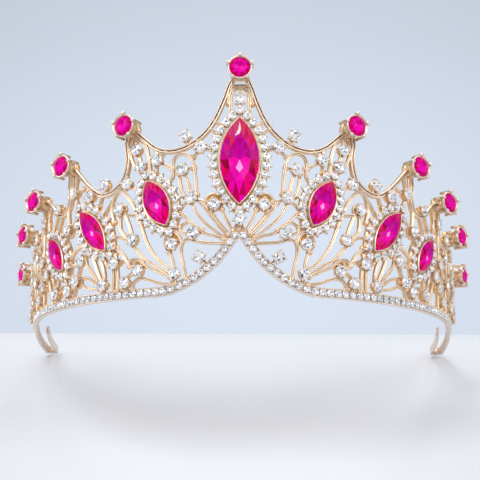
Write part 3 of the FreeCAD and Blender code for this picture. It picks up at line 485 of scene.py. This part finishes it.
# the rail: a flat floor between two raised borders
CHANNEL = [(-0.96, 0.05, 0.4), (-1.0, 0.5, 0.6), (-0.97, 0.95, 1.0), (-0.80, 1.0, 1.0), (-0.74, 0.86, 0.7),
           (0.74, 0.86, 0.7), (0.80, 1.0, 1.0), (0.97, 0.95, 1.0), (1.0, 0.5, 0.6), (0.96, 0.05, 0.4),
           (0.8, 0.0, 0.6), (-0.8, 0.0, 0.6)]
END_REACH = (0.8, 0.4)     # how far past its last point a wire's rounded end goes, in half widths
END_SIZE = (0.45, 0.85)    # the section's size at those two places
END_HEIGHT = 0.4           # the part of its height that doesn't shrink with the size
WIRE_JITTER = 0.03         # so that crossing wires don't share a surface


def sweep_faces(n, m, closed=False):
    """Faces over n sections of m points each, with caps on an open sweep."""
    faces = []
    for i in range(n if closed else n - 1):
        a, b = i * m, ((i + 1) % n) * m
        faces += [(a + j, b + j, b + (j + 1) % m, a + (j + 1) % m) for j in range(m)]
    if not closed:
        faces += [tuple(range(m)), tuple(range(n * m - 1, (n - 1) * m - 1, -1))]
    return faces


def wire(shape, points, width, section=GROOVED, back=WALL_BACK, front=WALL_FRONT, closed=False, hand=1):
    """Sweep a section along a (u, v) line on the wall; hand -1 swaps the section's two edges."""
    path = smooth_path(points)
    ahead = np.gradient(path, axis=0)
    if closed:
        path = path[:-1]
        ahead = np.roll(path, -1, 0) - np.roll(path, 1, 0)
    ahead /= np.maximum(np.hypot(ahead[:, 0], ahead[:, 1]), 1e-9)[:, None]
    across = np.stack([-ahead[:, 1], ahead[:, 0]], -1) * hand
    size = np.ones(len(path))
    if not closed:
        far, near = (width / 2 * reach for reach in END_REACH)
        path = np.vstack([path[0] - ahead[0] * far, path[0] - ahead[0] * near, path,
                          path[-1] + ahead[-1] * near, path[-1] + ahead[-1] * far])
        across = np.vstack([across[:1], across[:1], across, across[-1:], across[-1:]])
        size = np.concatenate([END_SIZE, size, END_SIZE[::-1]])
    section = np.array(section)
    lift = rng.uniform(-WIRE_JITTER, WIRE_JITTER)
    n, m = len(path), len(section)
    reach = section[None, :, 0] * size[:, None] * width / 2
    u = path[:, None, 0] + across[:, None, 0] * reach
    v = path[:, None, 1] + across[:, None, 1] * reach
    height_scale = END_HEIGHT + (1 - END_HEIGHT) * size[:, None]
    out = back + (front - back) * (0.5 + (section[None, :, 1] - 0.5) * height_scale) + lift
    shape.add(spot(u, v, out).reshape(-1, 3), sweep_faces(n, m, closed), np.tile(section[:, 2], n))


def mirrored(points, side):
    return [(side * u, v) for u, v in points]


# ---- turned and faceted parts, in mm facing +z ----
def lathe(shape, profile, at, segments, shift=(0, 0)):
    """Turn (radius, z, painted shading) points about z."""
    profile = np.array(profile, float)
    angle = np.linspace(0, 2 * np.pi, segments, endpoint=False)
    ring = np.stack([np.cos(angle), np.sin(angle)], -1)
    points = []
    for radius, z, _ in profile:
        flat = ring * radius + np.array(shift)
        points.append(np.column_stack([flat, np.full(segments, z)]))
    rows = len(profile)
    faces = []
    for i in range(rows - 1):
        a, b = i * segments, (i + 1) * segments
        faces += [(a + j, a + (j + 1) % segments, b + (j + 1) % segments, b + j) for j in range(segments)]
    faces += [tuple(range(segments))[::-1], tuple(range((rows - 1) * segments, rows * segments))]
    shape.add(np.vstack(points), faces, np.repeat(profile[:, 2], segments), at=at)


# a claw's bead: its size against the claw's, where its curve starts, and the steps to its top
BEAD_SWELL, BEAD_START, BEAD_STEPS = 1.25, -0.6, 4


def prong(shape, at, x, y, base, top, radius):
    """Upright claw with a rounded bead at its tip."""
    profile = [(radius * 0.9, base, 0.35), (radius, (base + top) / 2, 0.7),
               (radius * 0.85, top - radius, 0.9)]
    bead = radius * BEAD_SWELL
    for angle in np.linspace(BEAD_START, math.pi / 2, BEAD_STEPS + 1):
        profile.append((max(bead * math.cos(angle), 0.02), top - bead + bead * math.sin(angle), 1.0))
    lathe(shape, profile, at, 8, (x, y))


def prong_ring(shape, at, count, start, reach, base, top, radius):
    """Claws evenly round a cup, the first at an angle of start."""
    for k in range(count):
        angle = start + 2 * math.pi * k / count
        prong(shape, at, reach * math.cos(angle), reach * math.sin(angle), base, top, radius)


def stone_outline(count, length, width):
    """Points round a circle, or a pointed oval when it is longer than it is wide."""
    if abs(length - width) < 1e-6:
        angle = np.pi / 2 - np.linspace(0, 2 * np.pi, count, endpoint=False)
        return np.stack([np.cos(angle), np.sin(angle)], -1) * length / 2
    half, across = length / 2, width / 2
    radius = (half * half + across * across) / (2 * across)
    reach = math.asin(half / radius)
    points = []
    for side in (1, -1):
        for i in range(count // 2):
            angle = side * reach * (1 - 4 * i / count)
            x = side * (radius * math.cos(angle) - radius + across)
            points.append((x, radius * math.sin(angle)))
    return np.array(points)


# facet rings as parts of the girdle's size, and their depths as parts of the crown and the dish
MIDDLE_RING, TABLE_RING, INNER_RING = 0.80, 0.58, 0.30
MIDDLE_DEPTH, INNER_DEPTH = 0.42, 0.55
GIRDLE_HEIGHT, STONE_BACK = 0.25, 0.5


def cut_stone(shape, at, length, width, top, crown, count, dish, girdle_colour, colours):
    """A faceted stone facing +z: crown facets round a table whose inner facets dish slightly,
    as the pavilion shows through, over a shallow girdle."""
    half = count // 2
    girdle = stone_outline(count, length, width)
    middle = girdle[::2] * MIDDLE_RING
    table = girdle[1::2] * TABLE_RING
    pavilion = girdle[::2] * INNER_RING
    rise = top - crown
    points = np.vstack([
        np.column_stack([girdle, np.full(count, rise - GIRDLE_HEIGHT)]),
        np.column_stack([girdle, np.full(count, rise)]),
        np.column_stack([middle, np.full(half, top - crown * MIDDLE_DEPTH)]),
        np.column_stack([table, np.full(half, top)]),
        np.column_stack([pavilion, np.full(half, top - dish * INNER_DEPTH)]),
        [[0, 0, top - dish]],
        [[0, 0, rise - STONE_BACK]],
    ])
    low, high, mid = 0, count, 2 * count
    tab, pav = mid + half, mid + 2 * half
    centre, back = pav + half, pav + half + 1
    faces = []
    for i in range(count):
        j = (i + 1) % count
        faces.append((low + i, low + j, high + j, high + i))
        faces.append((back, low + j, low + i))
    crown_start = len(faces)
    for k in range(half):
        g, g1, g2 = 2 * k, 2 * k + 1, (2 * k + 2) % count
        k1 = (k + 1) % half
        faces.append((high + g, high + g1, mid + k))
        faces.append((high + g1, high + g2, mid + k1))
        faces.append((high + g1, mid + k1, tab + k))
        faces.append((mid + k, high + g1, tab + k))
        faces.append((mid + k1, tab + k1, tab + k))
    table_start = len(faces)
    for k in range(half):
        k1 = (k + 1) % half
        faces.append((tab + k, tab + k1, pav + k1))
        faces.append((pav + k, tab + k, pav + k1))
        faces.append((pav + k, pav + k1, centre))
    # each facet's colour comes from the colours function: the stone's tone with painted light and shade
    tints = []
    for index, face in enumerate(faces):
        if index < crown_start:
            tints.append(girdle_colour)
            continue
        middle_point = points[list(face)].mean(0)
        across, along = middle_point[0] / (width / 2), middle_point[1] / (length / 2)
        tints.append(colours(across, along, index >= table_start, index))
    shape.add(points, [face[::-1] for face in faces], 1.0, tints, flat=True, at=at)


# facet colours: the glass's own reds, magentas and violets carry painted light; the darkest crimson is
# painted shade, in the deep parts and on the rose girdles, and the two pale pinks are painted highlights; in
# the clear stones white and pale are painted reflections of light, grey and near-black painted reflections
# of shade
CRIMSON_SHADE, RED, MAGENTA = (0.30, 0.0, 0.04), (0.58, 0.0, 0.07), (0.68, 0.0, 0.25)
HOT, VIOLET, PURPLE = (0.90, 0.0, 0.40), (0.58, 0.0, 0.31), (0.48, 0.0, 0.22)
PINK_GLINT, ROSE_TOP, GLINT = (1.0, 0.36, 0.80), (0.60, 0.03, 0.11), (1.0, 0.72, 0.80)
ROSE_FOOT = (0.84, 0.0, 0.17)
WHITE, PALE, GREY, DARK = (1.0, 1.0, 1.0), (0.80, 0.82, 0.90), (0.42, 0.42, 0.50), (0.06, 0.05, 0.08)


def vary(colour, amount=0.15):
    return tuple(min(1.0, max(0.0, c * (1 + rng.uniform(-amount, amount)))) for c in colour)


def rose_tone_and_light(across, along, inner, index):
    """Painted light through the glass: rose-red at the upper tip, violet above the middle, hot magenta below
    it with a pale painted highlight down the middle, mixed reds round it with the darkest crimson as painted
    shade.
    """
    if inner:
        if along > 0.05:
            return vary(VIOLET if index % 3 else PURPLE, 0.1)
        return vary(PINK_GLINT if abs(across) < 0.12 and along > -0.4 else HOT, 0.1)
    if along > 0.62:
        return vary(ROSE_TOP, 0.15)
    if along > 0.1:
        return vary((RED, PURPLE, MAGENTA)[index % 3], 0.15)
    if along < -0.55:
        return vary((ROSE_FOOT, HOT, RED)[index % 3], 0.15)
    return vary((RED, MAGENTA, CRIMSON_SHADE, ROSE_FOOT)[index % 4], 0.15)


# the point stones' facets: magentas and reds with painted light, hot magenta below the middle of the table
def round_rose_tone_and_light(across, along, inner, index):
    if inner:
        return vary(HOT if along < 0.1 else MAGENTA, 0.2)
    return vary((MAGENTA, HOT, VIOLET, MAGENTA, RED)[index % 5], 0.2)


# the clear stones' facets at random: white and pale as painted reflections of light, grey and near-black as
# painted reflections of shade
def clear_reflections(across, along, inner, index):
    pick = rng.random()
    if inner:
        return vary(WHITE if pick < 0.5 else PALE if pick < 0.75 else GREY if pick < 0.9 else DARK)
    return vary(WHITE if pick < 0.45 else PALE if pick < 0.78 else GREY if pick < 0.93 else DARK)


def small_stone(shape, u, v, out, diameter, top=0.75):
    at = seat(u, v, out, rng.uniform(0, 1.0))
    cut_stone(shape, at, diameter, diameter, top, 0.35, 12, 0.18, GREY, clear_reflections)


# ---- where things repeat ----
def marquise(index, side):
    low, high, width = MARQUISES[index]
    rise, run = high[1] - low[1], side * (high[0] - low[0])
    lean = -math.atan2(run, rise)
    return side * (low[0] + high[0]) / 2, (low[1] + high[1]) / 2, math.hypot(rise, run), width, lean


def oval(index, side, grow, count):
    """Even (u, v) points and outward angles along a marquise's outline grown by some mm."""
    u, v, length, width, lean = marquise(index, side)
    half, across = length / 2, width / 2
    radius = (half * half + across * across) / (2 * across) + grow
    back = radius - across - grow
    reach = math.acos(back / radius)
    angles = np.linspace(reach, -reach, count // 2 + 1)[:-1]
    right = np.stack([radius * np.cos(angles) - back, radius * np.sin(angles)], -1)
    heading = np.concatenate([angles, angles + np.pi])
    points = np.vstack([right, -right])
    turn = np.array([[math.cos(lean), -math.sin(lean)], [math.sin(lean), math.cos(lean)]])
    points = points @ turn.T + np.array([u, v])
    return points, heading + lean


def oval_length(index, grow):
    points, _ = oval(index, 1, grow, 200)
    return float(np.hypot(*np.diff(np.vstack([points, points[:1]]), axis=0).T).sum())


def oval_line(index, side, grow, count):
    """The same outline as a line that comes back to its start."""
    path = [tuple(point) for point in oval(index, side, grow, count)[0]]
    return path + path[:1]


# ---- pieces ----
def hand_of(number, side):
    return "centre" if number == 0 else "left" if side < 0 else "right"


def blob(shape, u, v):
    """Soft lump of metal where a cast wire runs into its neighbour."""
    size = rng.uniform(0.8, 1.1)
    top = rng.uniform(1.05, 1.4)
    lathe(shape, [(size * 0.8, WIRE_BACK, 0.2), (size, 0.6, 0.25), (size * 0.9, top - 0.3, 0.3),
                  (size * 0.55, top - 0.05, 0.42), (0.1, top, 0.6)], seat(u, v), 10)


def stone_seat(shape, u, v):
    lathe(shape, [(1.3, WALL_BACK, 0.2), (1.5, 0.1, 0.3), (1.45, 1.3, 0.4)], seat(u, v), 12)


def build_panel(number, side):
    shape = Shape()
    for line in CENTRE_WIRES if number == 0 else [mirrored(line, side) for line in WIRES[number - 1]]:
        wire(shape, line, WIRE, back=WIRE_BACK)
        for u, v in (line[0], line[-1]):
            blob(shape, u, v)
    if number > 0:
        for u, v, radius in PLATES[number - 1]:
            lathe(shape, [(radius - 0.15, 0.0, 0.2), (radius, 0.5, 0.3), (radius - 0.05, 1.0, 0.7),
                          (radius - 0.4, 1.15, 0.9), (radius - 0.8, 0.85, 0.2)], seat(side * u, v), 24)
        wire(shape, mirrored(FRAMES[number - 1], side), FRAME, RIMMED, FRAME_BACK, WALL_FRONT + FRAME_RISE,
             hand=side)
    if number < len(MARQUISES):
        wire(shape, oval_line(number, side, HOLE_RING, 64), HOLE_RING_WIDTH, ROUNDED,
             front=WALL_FRONT - HOLE_RING_DROP, closed=True)
    u, v = spire_foot(number)
    lathe(shape, [(2.4, WALL_BACK, 0.3), (2.5, 0.2, 0.4), (2.4, WALL_FRONT, 0.5)], seat(side * u, v), 14)
    places = CENTRE_ACCENTS if number == 0 else [p for p in ACCENTS[number - 1] if p != RAIL_ARM[0]]
    for u, v in mirrored(places, side):
        stone_seat(shape, u, v)
    node = f"{hand_of(number, side)}_panel_{number}" if number else "centre_panel"
    shape.make(f"{node}_wires", GILT, "gilt", [node])


SPIRE_RADIUS, SPIRE_LIP = SPIRE_STONE / 2, SPIRE_TOP - 0.9
# (radius, z, painted shading) up the outside of a point's cup, with its two ridges, and over the lip
SPIRE_CUP = [(2.1, 0.9, 0.2), (2.3, 2.1, 0.5), (2.15, 2.5, 0.35), (2.5, 3.0, 0.5), (2.95, 3.3, 0.8),
             (3.0, 3.65, 0.9), (2.7, 3.9, 0.35), (2.75, 4.9, 0.4), (3.3, 5.2, 0.8),
             (SPIRE_RADIUS + 0.55, SPIRE_LIP, 0.9), (SPIRE_RADIUS + 0.42, SPIRE_LIP + 0.25, 1.0),
             (SPIRE_RADIUS + 0.1, SPIRE_LIP + 0.15, 0.8), (SPIRE_RADIUS - 0.05, SPIRE_LIP - 0.4, 0.3)]


def build_spires(hand, numbers, side):
    cups, stones = Shape(), Shape()
    for number in numbers:
        at = spire_seat(number, side)
        lathe(cups, SPIRE_CUP, at, 28)
        prong_ring(cups, at, 5, math.pi / 2, SPIRE_RADIUS + 0.62, 2.2, SPIRE_TOP + 0.05, 0.52)
        cut_stone(stones, at, SPIRE_STONE, SPIRE_STONE, SPIRE_TOP - 0.3, 0.9, 16, 0.5, CRIMSON_SHADE,
                  round_rose_tone_and_light)
    cup_node = "centre_point_cup" if hand == "centre" else f"{hand}_point_cups"
    stone_node = "centre_point_stone" if hand == "centre" else f"{hand}_point_stones"
    cups.make(f"{cup_node}_turned", GILT, "gilt", [cup_node])
    stones.make(f"{stone_node}_cut", ROSE, "rose_stone", [stone_node])


HALO_CUP = [(0.9, 1.0, 0.2), (1.1, 1.5, 0.3), (1.22, 2.0, 0.9), (1.12, 2.15, 1.0), (0.96, 2.0, 0.4)]
# painted highlight near the middle stone's upper tip, a narrow pale facet laid over the crown: x and y as
# parts of its length, z from its top
RIDGE_GLINT = [(0, 0.46, -0.60), (-0.016, 0.36, -0.12), (-0.055, 0.275, 0.04), (0, 0.305, 0.06),
               (0.016, 0.36, -0.12)]


def build_marquise(index, side):
    name = f"{hand_of(index, side)}_marquise_{index}" if index else "centre_marquise"
    u, v, length, width, lean = marquise(index, side)
    collar, stone, halo, sparkle = Shape(), Shape(), Shape(), Shape()
    at = seat(u, v, 0, lean)
    wire(collar, oval_line(index, side, BEZEL_WALL / 2 + COLLAR_THIN, 72), BEZEL_WALL - COLLAR_THIN, ROUNDED,
         WALL_BACK, MARQUISE_TOP - COLLAR_DROP, closed=True)
    cut_stone(stone, at, length + STONE_LAP[0], width + STONE_LAP[1], MARQUISE_TOP, 1.0, 20, 0.6, CRIMSON_SHADE,
              rose_tone_and_light)
    if index == 0:
        # a painted highlight: a thin pale sliver over the middle stone's crown
        facet = [(x * length, y * length, MARQUISE_TOP + z) for x, y, z in RIDGE_GLINT]
        stone.add(facet, [(0, 1, 2, 3, 4)], 1.0, GLINT, flat=True, at=at)
    count = round(oval_length(index, HALO_OFFSET) / HALO_PITCH / 2) * 2
    path, _ = oval(index, side, HALO_OFFSET - HALO_DRAW, count)
    for pu, pv in path:
        lathe(halo, HALO_CUP, seat(pu, pv), 12)
        small_stone(sparkle, pu, pv, WALL_FRONT + 0.15, HALO_STONE + HALO_SWELL)
    edge, heading = oval(index, side, HALO_OFFSET + HALO_EDGE, count)
    for (pu, pv), angle in zip(edge, heading):
        tooth(halo, pu, pv, angle)
    between, _ = oval(index, side, HALO_OFFSET, 2 * count)
    for pu, pv in between[1::2]:
        prong(halo, seat(pu, pv), 0, 0, 1.2, 2.45, 0.28)
    collar.make(f"{name}_collar_rim", GILT, "gilt", [f"{name}_collar"])
    stone.make(f"{name}_cut", ROSE, "rose_stone", [f"{name}_stone"])
    halo.make(f"{name}_halo_cups", GILT, "gilt", [f"{name}_halo"])
    sparkle.make(f"{name}_halo_cut", CLEAR, "clear_stone", [f"{name}_halo_stones"])


def tooth(shape, u, v, angle):
    """Small pointed claw on the outer edge of a halo."""
    ahead = np.array([math.cos(angle), math.sin(angle)])
    across = np.array([-ahead[1], ahead[0]])
    base, tip, wide = -0.5, 0.85, 0.7
    flat = [ahead * base + across * wide, ahead * tip, ahead * base - across * wide]
    points = []
    for out, scale in ((0.7, 1.0), (1.7, 1.0), (2.1, 0.5)):
        for p in flat:
            q = p * scale
            points.append(spot(u + q[0], v + q[1], out))
    faces = [(0, 1, 4, 3), (1, 2, 5, 4), (2, 0, 3, 5), (3, 4, 7, 6), (4, 5, 8, 7), (5, 3, 6, 8), (6, 7, 8),
             (2, 1, 0)]
    shape.add(points, faces, [0.2, 0.2, 0.2, 0.7, 1.0, 0.7, 1.0, 1.0, 1.0])


ACCENT_CUP = [(1.3, 1.2, 0.1), (1.5, 1.5, 0.2), (1.78, 2.0, 0.7), (1.82, 2.25, 0.9), (1.7, 2.35, 0.9),
              (1.55, 2.1, 0.3)]


def build_accents(hand, places):
    cups, stones = Shape(), Shape()
    for u, v in places:
        at = seat(u, v, 0, rng.uniform(0, 1.5))
        lathe(cups, ACCENT_CUP, at, 14)
        prong_ring(cups, at, 4, 0, 1.85, 1.0, 2.9, 0.36)
        cut_stone(stones, at, ACCENT_STONE, ACCENT_STONE, 2.75, 0.5, 16, 0.25, GREY, clear_reflections)
    cups.make(f"{hand}_clear_cups_clawed", GILT, "gilt", [f"{hand}_clear_cups"])
    stones.make(f"{hand}_clear_stones_cut", CLEAR, "clear_stone", [f"{hand}_clear_stones"])


def rail_places(side):
    """(u, v) of the rail's stones: evenly along the arch, then along the strip."""
    path = smooth_path(ARCH[1:-1], 0.1)
    length = np.concatenate([[0], np.cumsum(np.hypot(*np.diff(path, axis=0).T))])
    steps = round(length[-1] / RAIL_PITCH)
    at = np.linspace(0, length[-1], steps + 1)
    arch_u, arch_v = (np.interp(at, length, path[:, axis]) for axis in (0, 1))
    places = [(side * float(u), float(v)) for u, v in zip(arch_u, arch_v)]
    u = ARCH[1][0] + RAIL_PITCH
    while u < RAIL_STONES_END:
        places.append((side * u, STRIP_HEIGHT / 2))
        u += RAIL_PITCH
    return places


RAIL_CUP = [(0.9, 0.3, 0.5), (1.0, 0.7, 0.7), (1.05, 0.95, 0.9), (0.98, 1.03, 1.0), (0.88, 0.9, 0.5)]


def build_rail(side):
    hand = "left" if side < 0 else "right"
    strip, cups, stones = Shape(), Shape(), Shape()
    line = [(max(u, 0.0), v) for u, v in ARCH[:0:-1]]
    line += [(u, STRIP_HEIGHT / 2) for u in (30, 50, 80, 110, 140, STRIP_END)]
    wire(strip, mirrored(line, side), STRIP_HEIGHT + RAIL_SPREAD, CHANNEL, STRIP_BACK,
         STRIP_FRONT + RAIL_RISE)
    wire(strip, mirrored(RAIL_ARM, side), WIRE)
    stone_seat(strip, side * RAIL_ARM[0][0], RAIL_ARM[0][1])
    loop(strip, side)
    strip.make(f"{hand}_rail_strip", STRIP_METAL, "rail_metal", [f"{hand}_rail"])
    for u, v in rail_places(side):
        at = seat(u, v)
        lathe(cups, RAIL_CUP, at, 12)
        prong_ring(cups, at, 4, math.pi / 4, 1.12, 0.4, 1.25, 0.2)
        small_stone(stones, u, v, STRIP_FRONT, RAIL_STONE + RAIL_SWELL, 0.9)
    cups.make(f"{hand}_rail_cups_clawed", GILT, "gilt", [f"{hand}_rail_cups"])
    stones.make(f"{hand}_rail_stones_cut", CLEAR, "clear_stone", [f"{hand}_rail_stones"])


def loop(shape, side):
    """The strip's end, turned back on the inside."""
    x, y, turn = (float(value) for value in plan(side * STRIP_END, STRIP_MIDDLE))
    back = np.array([math.cos(turn), math.sin(turn)]) * side
    inward = np.array([-math.sin(turn), math.cos(turn)])
    start = np.array([x, y + Y_SHIFT])
    centre = start + inward * LOOP_RADIUS
    angles = np.linspace(-math.pi / 2, math.pi / 2, 15)
    path = [start - back * 0.6]
    path += [centre + back * LOOP_RADIUS * math.cos(a) + inward * LOOP_RADIUS * math.sin(a) for a in angles]
    for u in np.linspace(STRIP_END, STRIP_END - LOOP_RETURN, 12)[1:]:
        leg_x, leg_y, _ = plan(side * u, STRIP_MIDDLE - 2 * LOOP_RADIUS)
        path.append(np.array([float(leg_x), float(leg_y) + Y_SHIFT]))
    path = np.array(path)
    ahead = np.gradient(path, axis=0)
    ahead /= np.hypot(ahead[:, 0], ahead[:, 1])[:, None]
    normal = np.stack([-ahead[:, 1], ahead[:, 0]], -1)
    thick, tall = (STRIP_FRONT - STRIP_BACK) / 2, STRIP_HEIGHT / 2
    section = [(-1, -0.92), (-0.8, -1), (0.8, -1), (1, -0.92), (1, 0.92), (0.8, 1), (-0.8, 1), (-1, 0.92)]
    points = []
    for p, nrm in zip(path, normal):
        for a, b in section:
            q = p + nrm * thick * a
            points.append((q[0] * MM, q[1] * MM, (tall + tall * b + Z_BASE) * MM))
    shape.add(points, sweep_faces(len(path), len(section)), 0.7)


build_panel(0, 1)
build_spires("centre", [0], 1)
build_marquise(0, 1)
build_accents("centre", CENTRE_ACCENTS)
for side, hand in ((-1, "left"), (1, "right")):
    for number in range(1, len(SPIRES)):
        build_panel(number, side)
    for index in range(1, len(MARQUISES)):
        build_marquise(index, side)
    build_spires(hand, range(1, len(SPIRES)), side)
    build_accents(hand, [place for places in ACCENTS for place in mirrored(places, side)])
    build_rail(side)


# ---- stage, light and camera ----
FLOOR_SLOPE, FLOOR_CLEARANCE, FLOOR_PAST_TIPS = 0.487, 0.0006, 0.012
FLOOR_BEND, FLOOR_BEND_STEPS, FLOOR_HALF_WIDTH = 0.10, 14, 1.6
SCREEN_Y, SCREEN_HALF_WIDTH, SCREEN_LOW, SCREEN_HIGH = 0.9, 3, -1.2, 2.0
STUDIO_GREY, SCREEN_BLUE = (0.74, 0.76, 0.80), (0.70, 0.76, 0.86)


def build_floor():
    """Pale table that tilts as the crown leans, rolled away behind the strip ends."""
    y_tips = cad_box[1][1]
    points = [(y, FLOOR_SLOPE * (y - y_tips) - FLOOR_CLEARANCE)
              for y in (-1.6, -0.6, -0.3, y_tips + FLOOR_PAST_TIPS)]
    tilt = math.atan(FLOOR_SLOPE)
    along = np.array([math.cos(tilt), math.sin(tilt)])
    down = np.array([math.sin(tilt), -math.cos(tilt)])
    start = np.array(points[-1])
    for turn in np.linspace(0, math.radians(100), FLOOR_BEND_STEPS + 1)[1:]:
        points.append(tuple(start + FLOOR_BEND * (along * math.sin(turn) + down * (1 - math.cos(turn)))))
    mesh = bpy.data.meshes.new("floor")
    verts = [(s * FLOOR_HALF_WIDTH, y, z) for y, z in points for s in (-1, 1)]
    faces = [(2 * i, 2 * i + 1, 2 * i + 3, 2 * i + 2) for i in range(len(points) - 1)]
    mesh.from_pydata(verts, [], faces)
    mesh.polygons.foreach_set("use_smooth", [True] * len(faces))
    floor = bpy.data.objects.new("floor", mesh)
    bpy.context.scene.collection.objects.link(floor)
    mesh.materials.append(plain_material("pale_floor", STUDIO_GREY, 0.6))


def area_light(name, place, target, size, energy):
    data = bpy.data.lights.new(name, "AREA")
    data.shape = "RECTANGLE"
    data.size, data.size_y = size
    data.energy = energy
    lamp = bpy.data.objects.new(name, data)
    lamp.location = place
    lamp.rotation_euler = (Vector(target) - Vector(place)).to_track_quat("-Z", "Y").to_euler()
    bpy.context.scene.collection.objects.link(lamp)


def build_light():
    area_light("key", (-0.22, -0.55, 0.42), (0, -0.03, 0.03), (0.34, 0.34), 2.1)
    area_light("fill", (0.34, -0.52, 0.30), (0, -0.03, 0.03), (0.30, 0.34), 1.15)
    area_light("left", (-0.60, -0.10, 0.10), (0, -0.03, 0.03), (0.10, 0.36), 0.9)
    area_light("right", (0.60, -0.10, 0.10), (0, -0.03, 0.03), (0.10, 0.36), 0.55)
    area_light("top", (0.0, 0.10, 0.60), (0, 0, 0.03), (0.5, 0.3), 1.6)
    area_light("behind", (0.0, 0.30, 0.25), (0.0, 0.9, 0.2), (1.0, 0.5), 2.5)
    world = bpy.data.worlds.new("studio")
    bpy.context.scene.world = world
    world.use_nodes = True
    back = world.node_tree.nodes["Background"]
    back.inputs["Color"].default_value = (*STUDIO_GREY, 1)
    back.inputs["Strength"].default_value = 0.45
    bpy.context.scene.view_settings.view_transform = "Standard"


def build_backdrop():
    """Plain pale screen behind the crown."""
    mesh = bpy.data.meshes.new("backdrop")
    wide = SCREEN_HALF_WIDTH
    corners = ((-wide, SCREEN_LOW), (wide, SCREEN_LOW), (wide, SCREEN_HIGH), (-wide, SCREEN_HIGH))
    mesh.from_pydata([(x, SCREEN_Y, z) for x, z in corners], [], [(0, 1, 2, 3)])
    screen = bpy.data.objects.new("backdrop", mesh)
    bpy.context.scene.collection.objects.link(screen)
    mesh.materials.append(plain_material("pale_screen", SCREEN_BLUE, 0.8))


def build_camera():
    yaw, pitch, roll = CAMERA_YAW, CAMERA_PITCH, CAMERA_ROLL
    along = Vector((math.cos(yaw), -math.sin(yaw), 0))
    level = Vector((math.sin(yaw), math.cos(yaw), 0))
    forward = level * math.cos(pitch) + Vector((0, 0, math.sin(pitch)))
    up = -level * math.sin(pitch) + Vector((0, 0, math.cos(pitch)))
    right = along * math.cos(roll) - up * math.sin(roll)
    top = along * math.sin(roll) + up * math.cos(roll)
    data = bpy.data.cameras.new("camera")
    data.sensor_width = 36
    data.lens = CAMERA_LENS
    data.clip_start = 0.01
    camera = bpy.data.objects.new("camera", data)
    basis = Matrix((right, top, -forward)).transposed().to_4x4()
    place = Vector((CAMERA_SIDE, Y_SHIFT - CAMERA_DISTANCE, Z_BASE - CAMERA_DROP)) * MM
    camera.matrix_world = Matrix.Translation(place) @ basis
    bpy.context.scene.collection.objects.link(camera)
    bpy.context.scene.camera = camera


build_floor()
build_backdrop()
build_light()
build_camera()
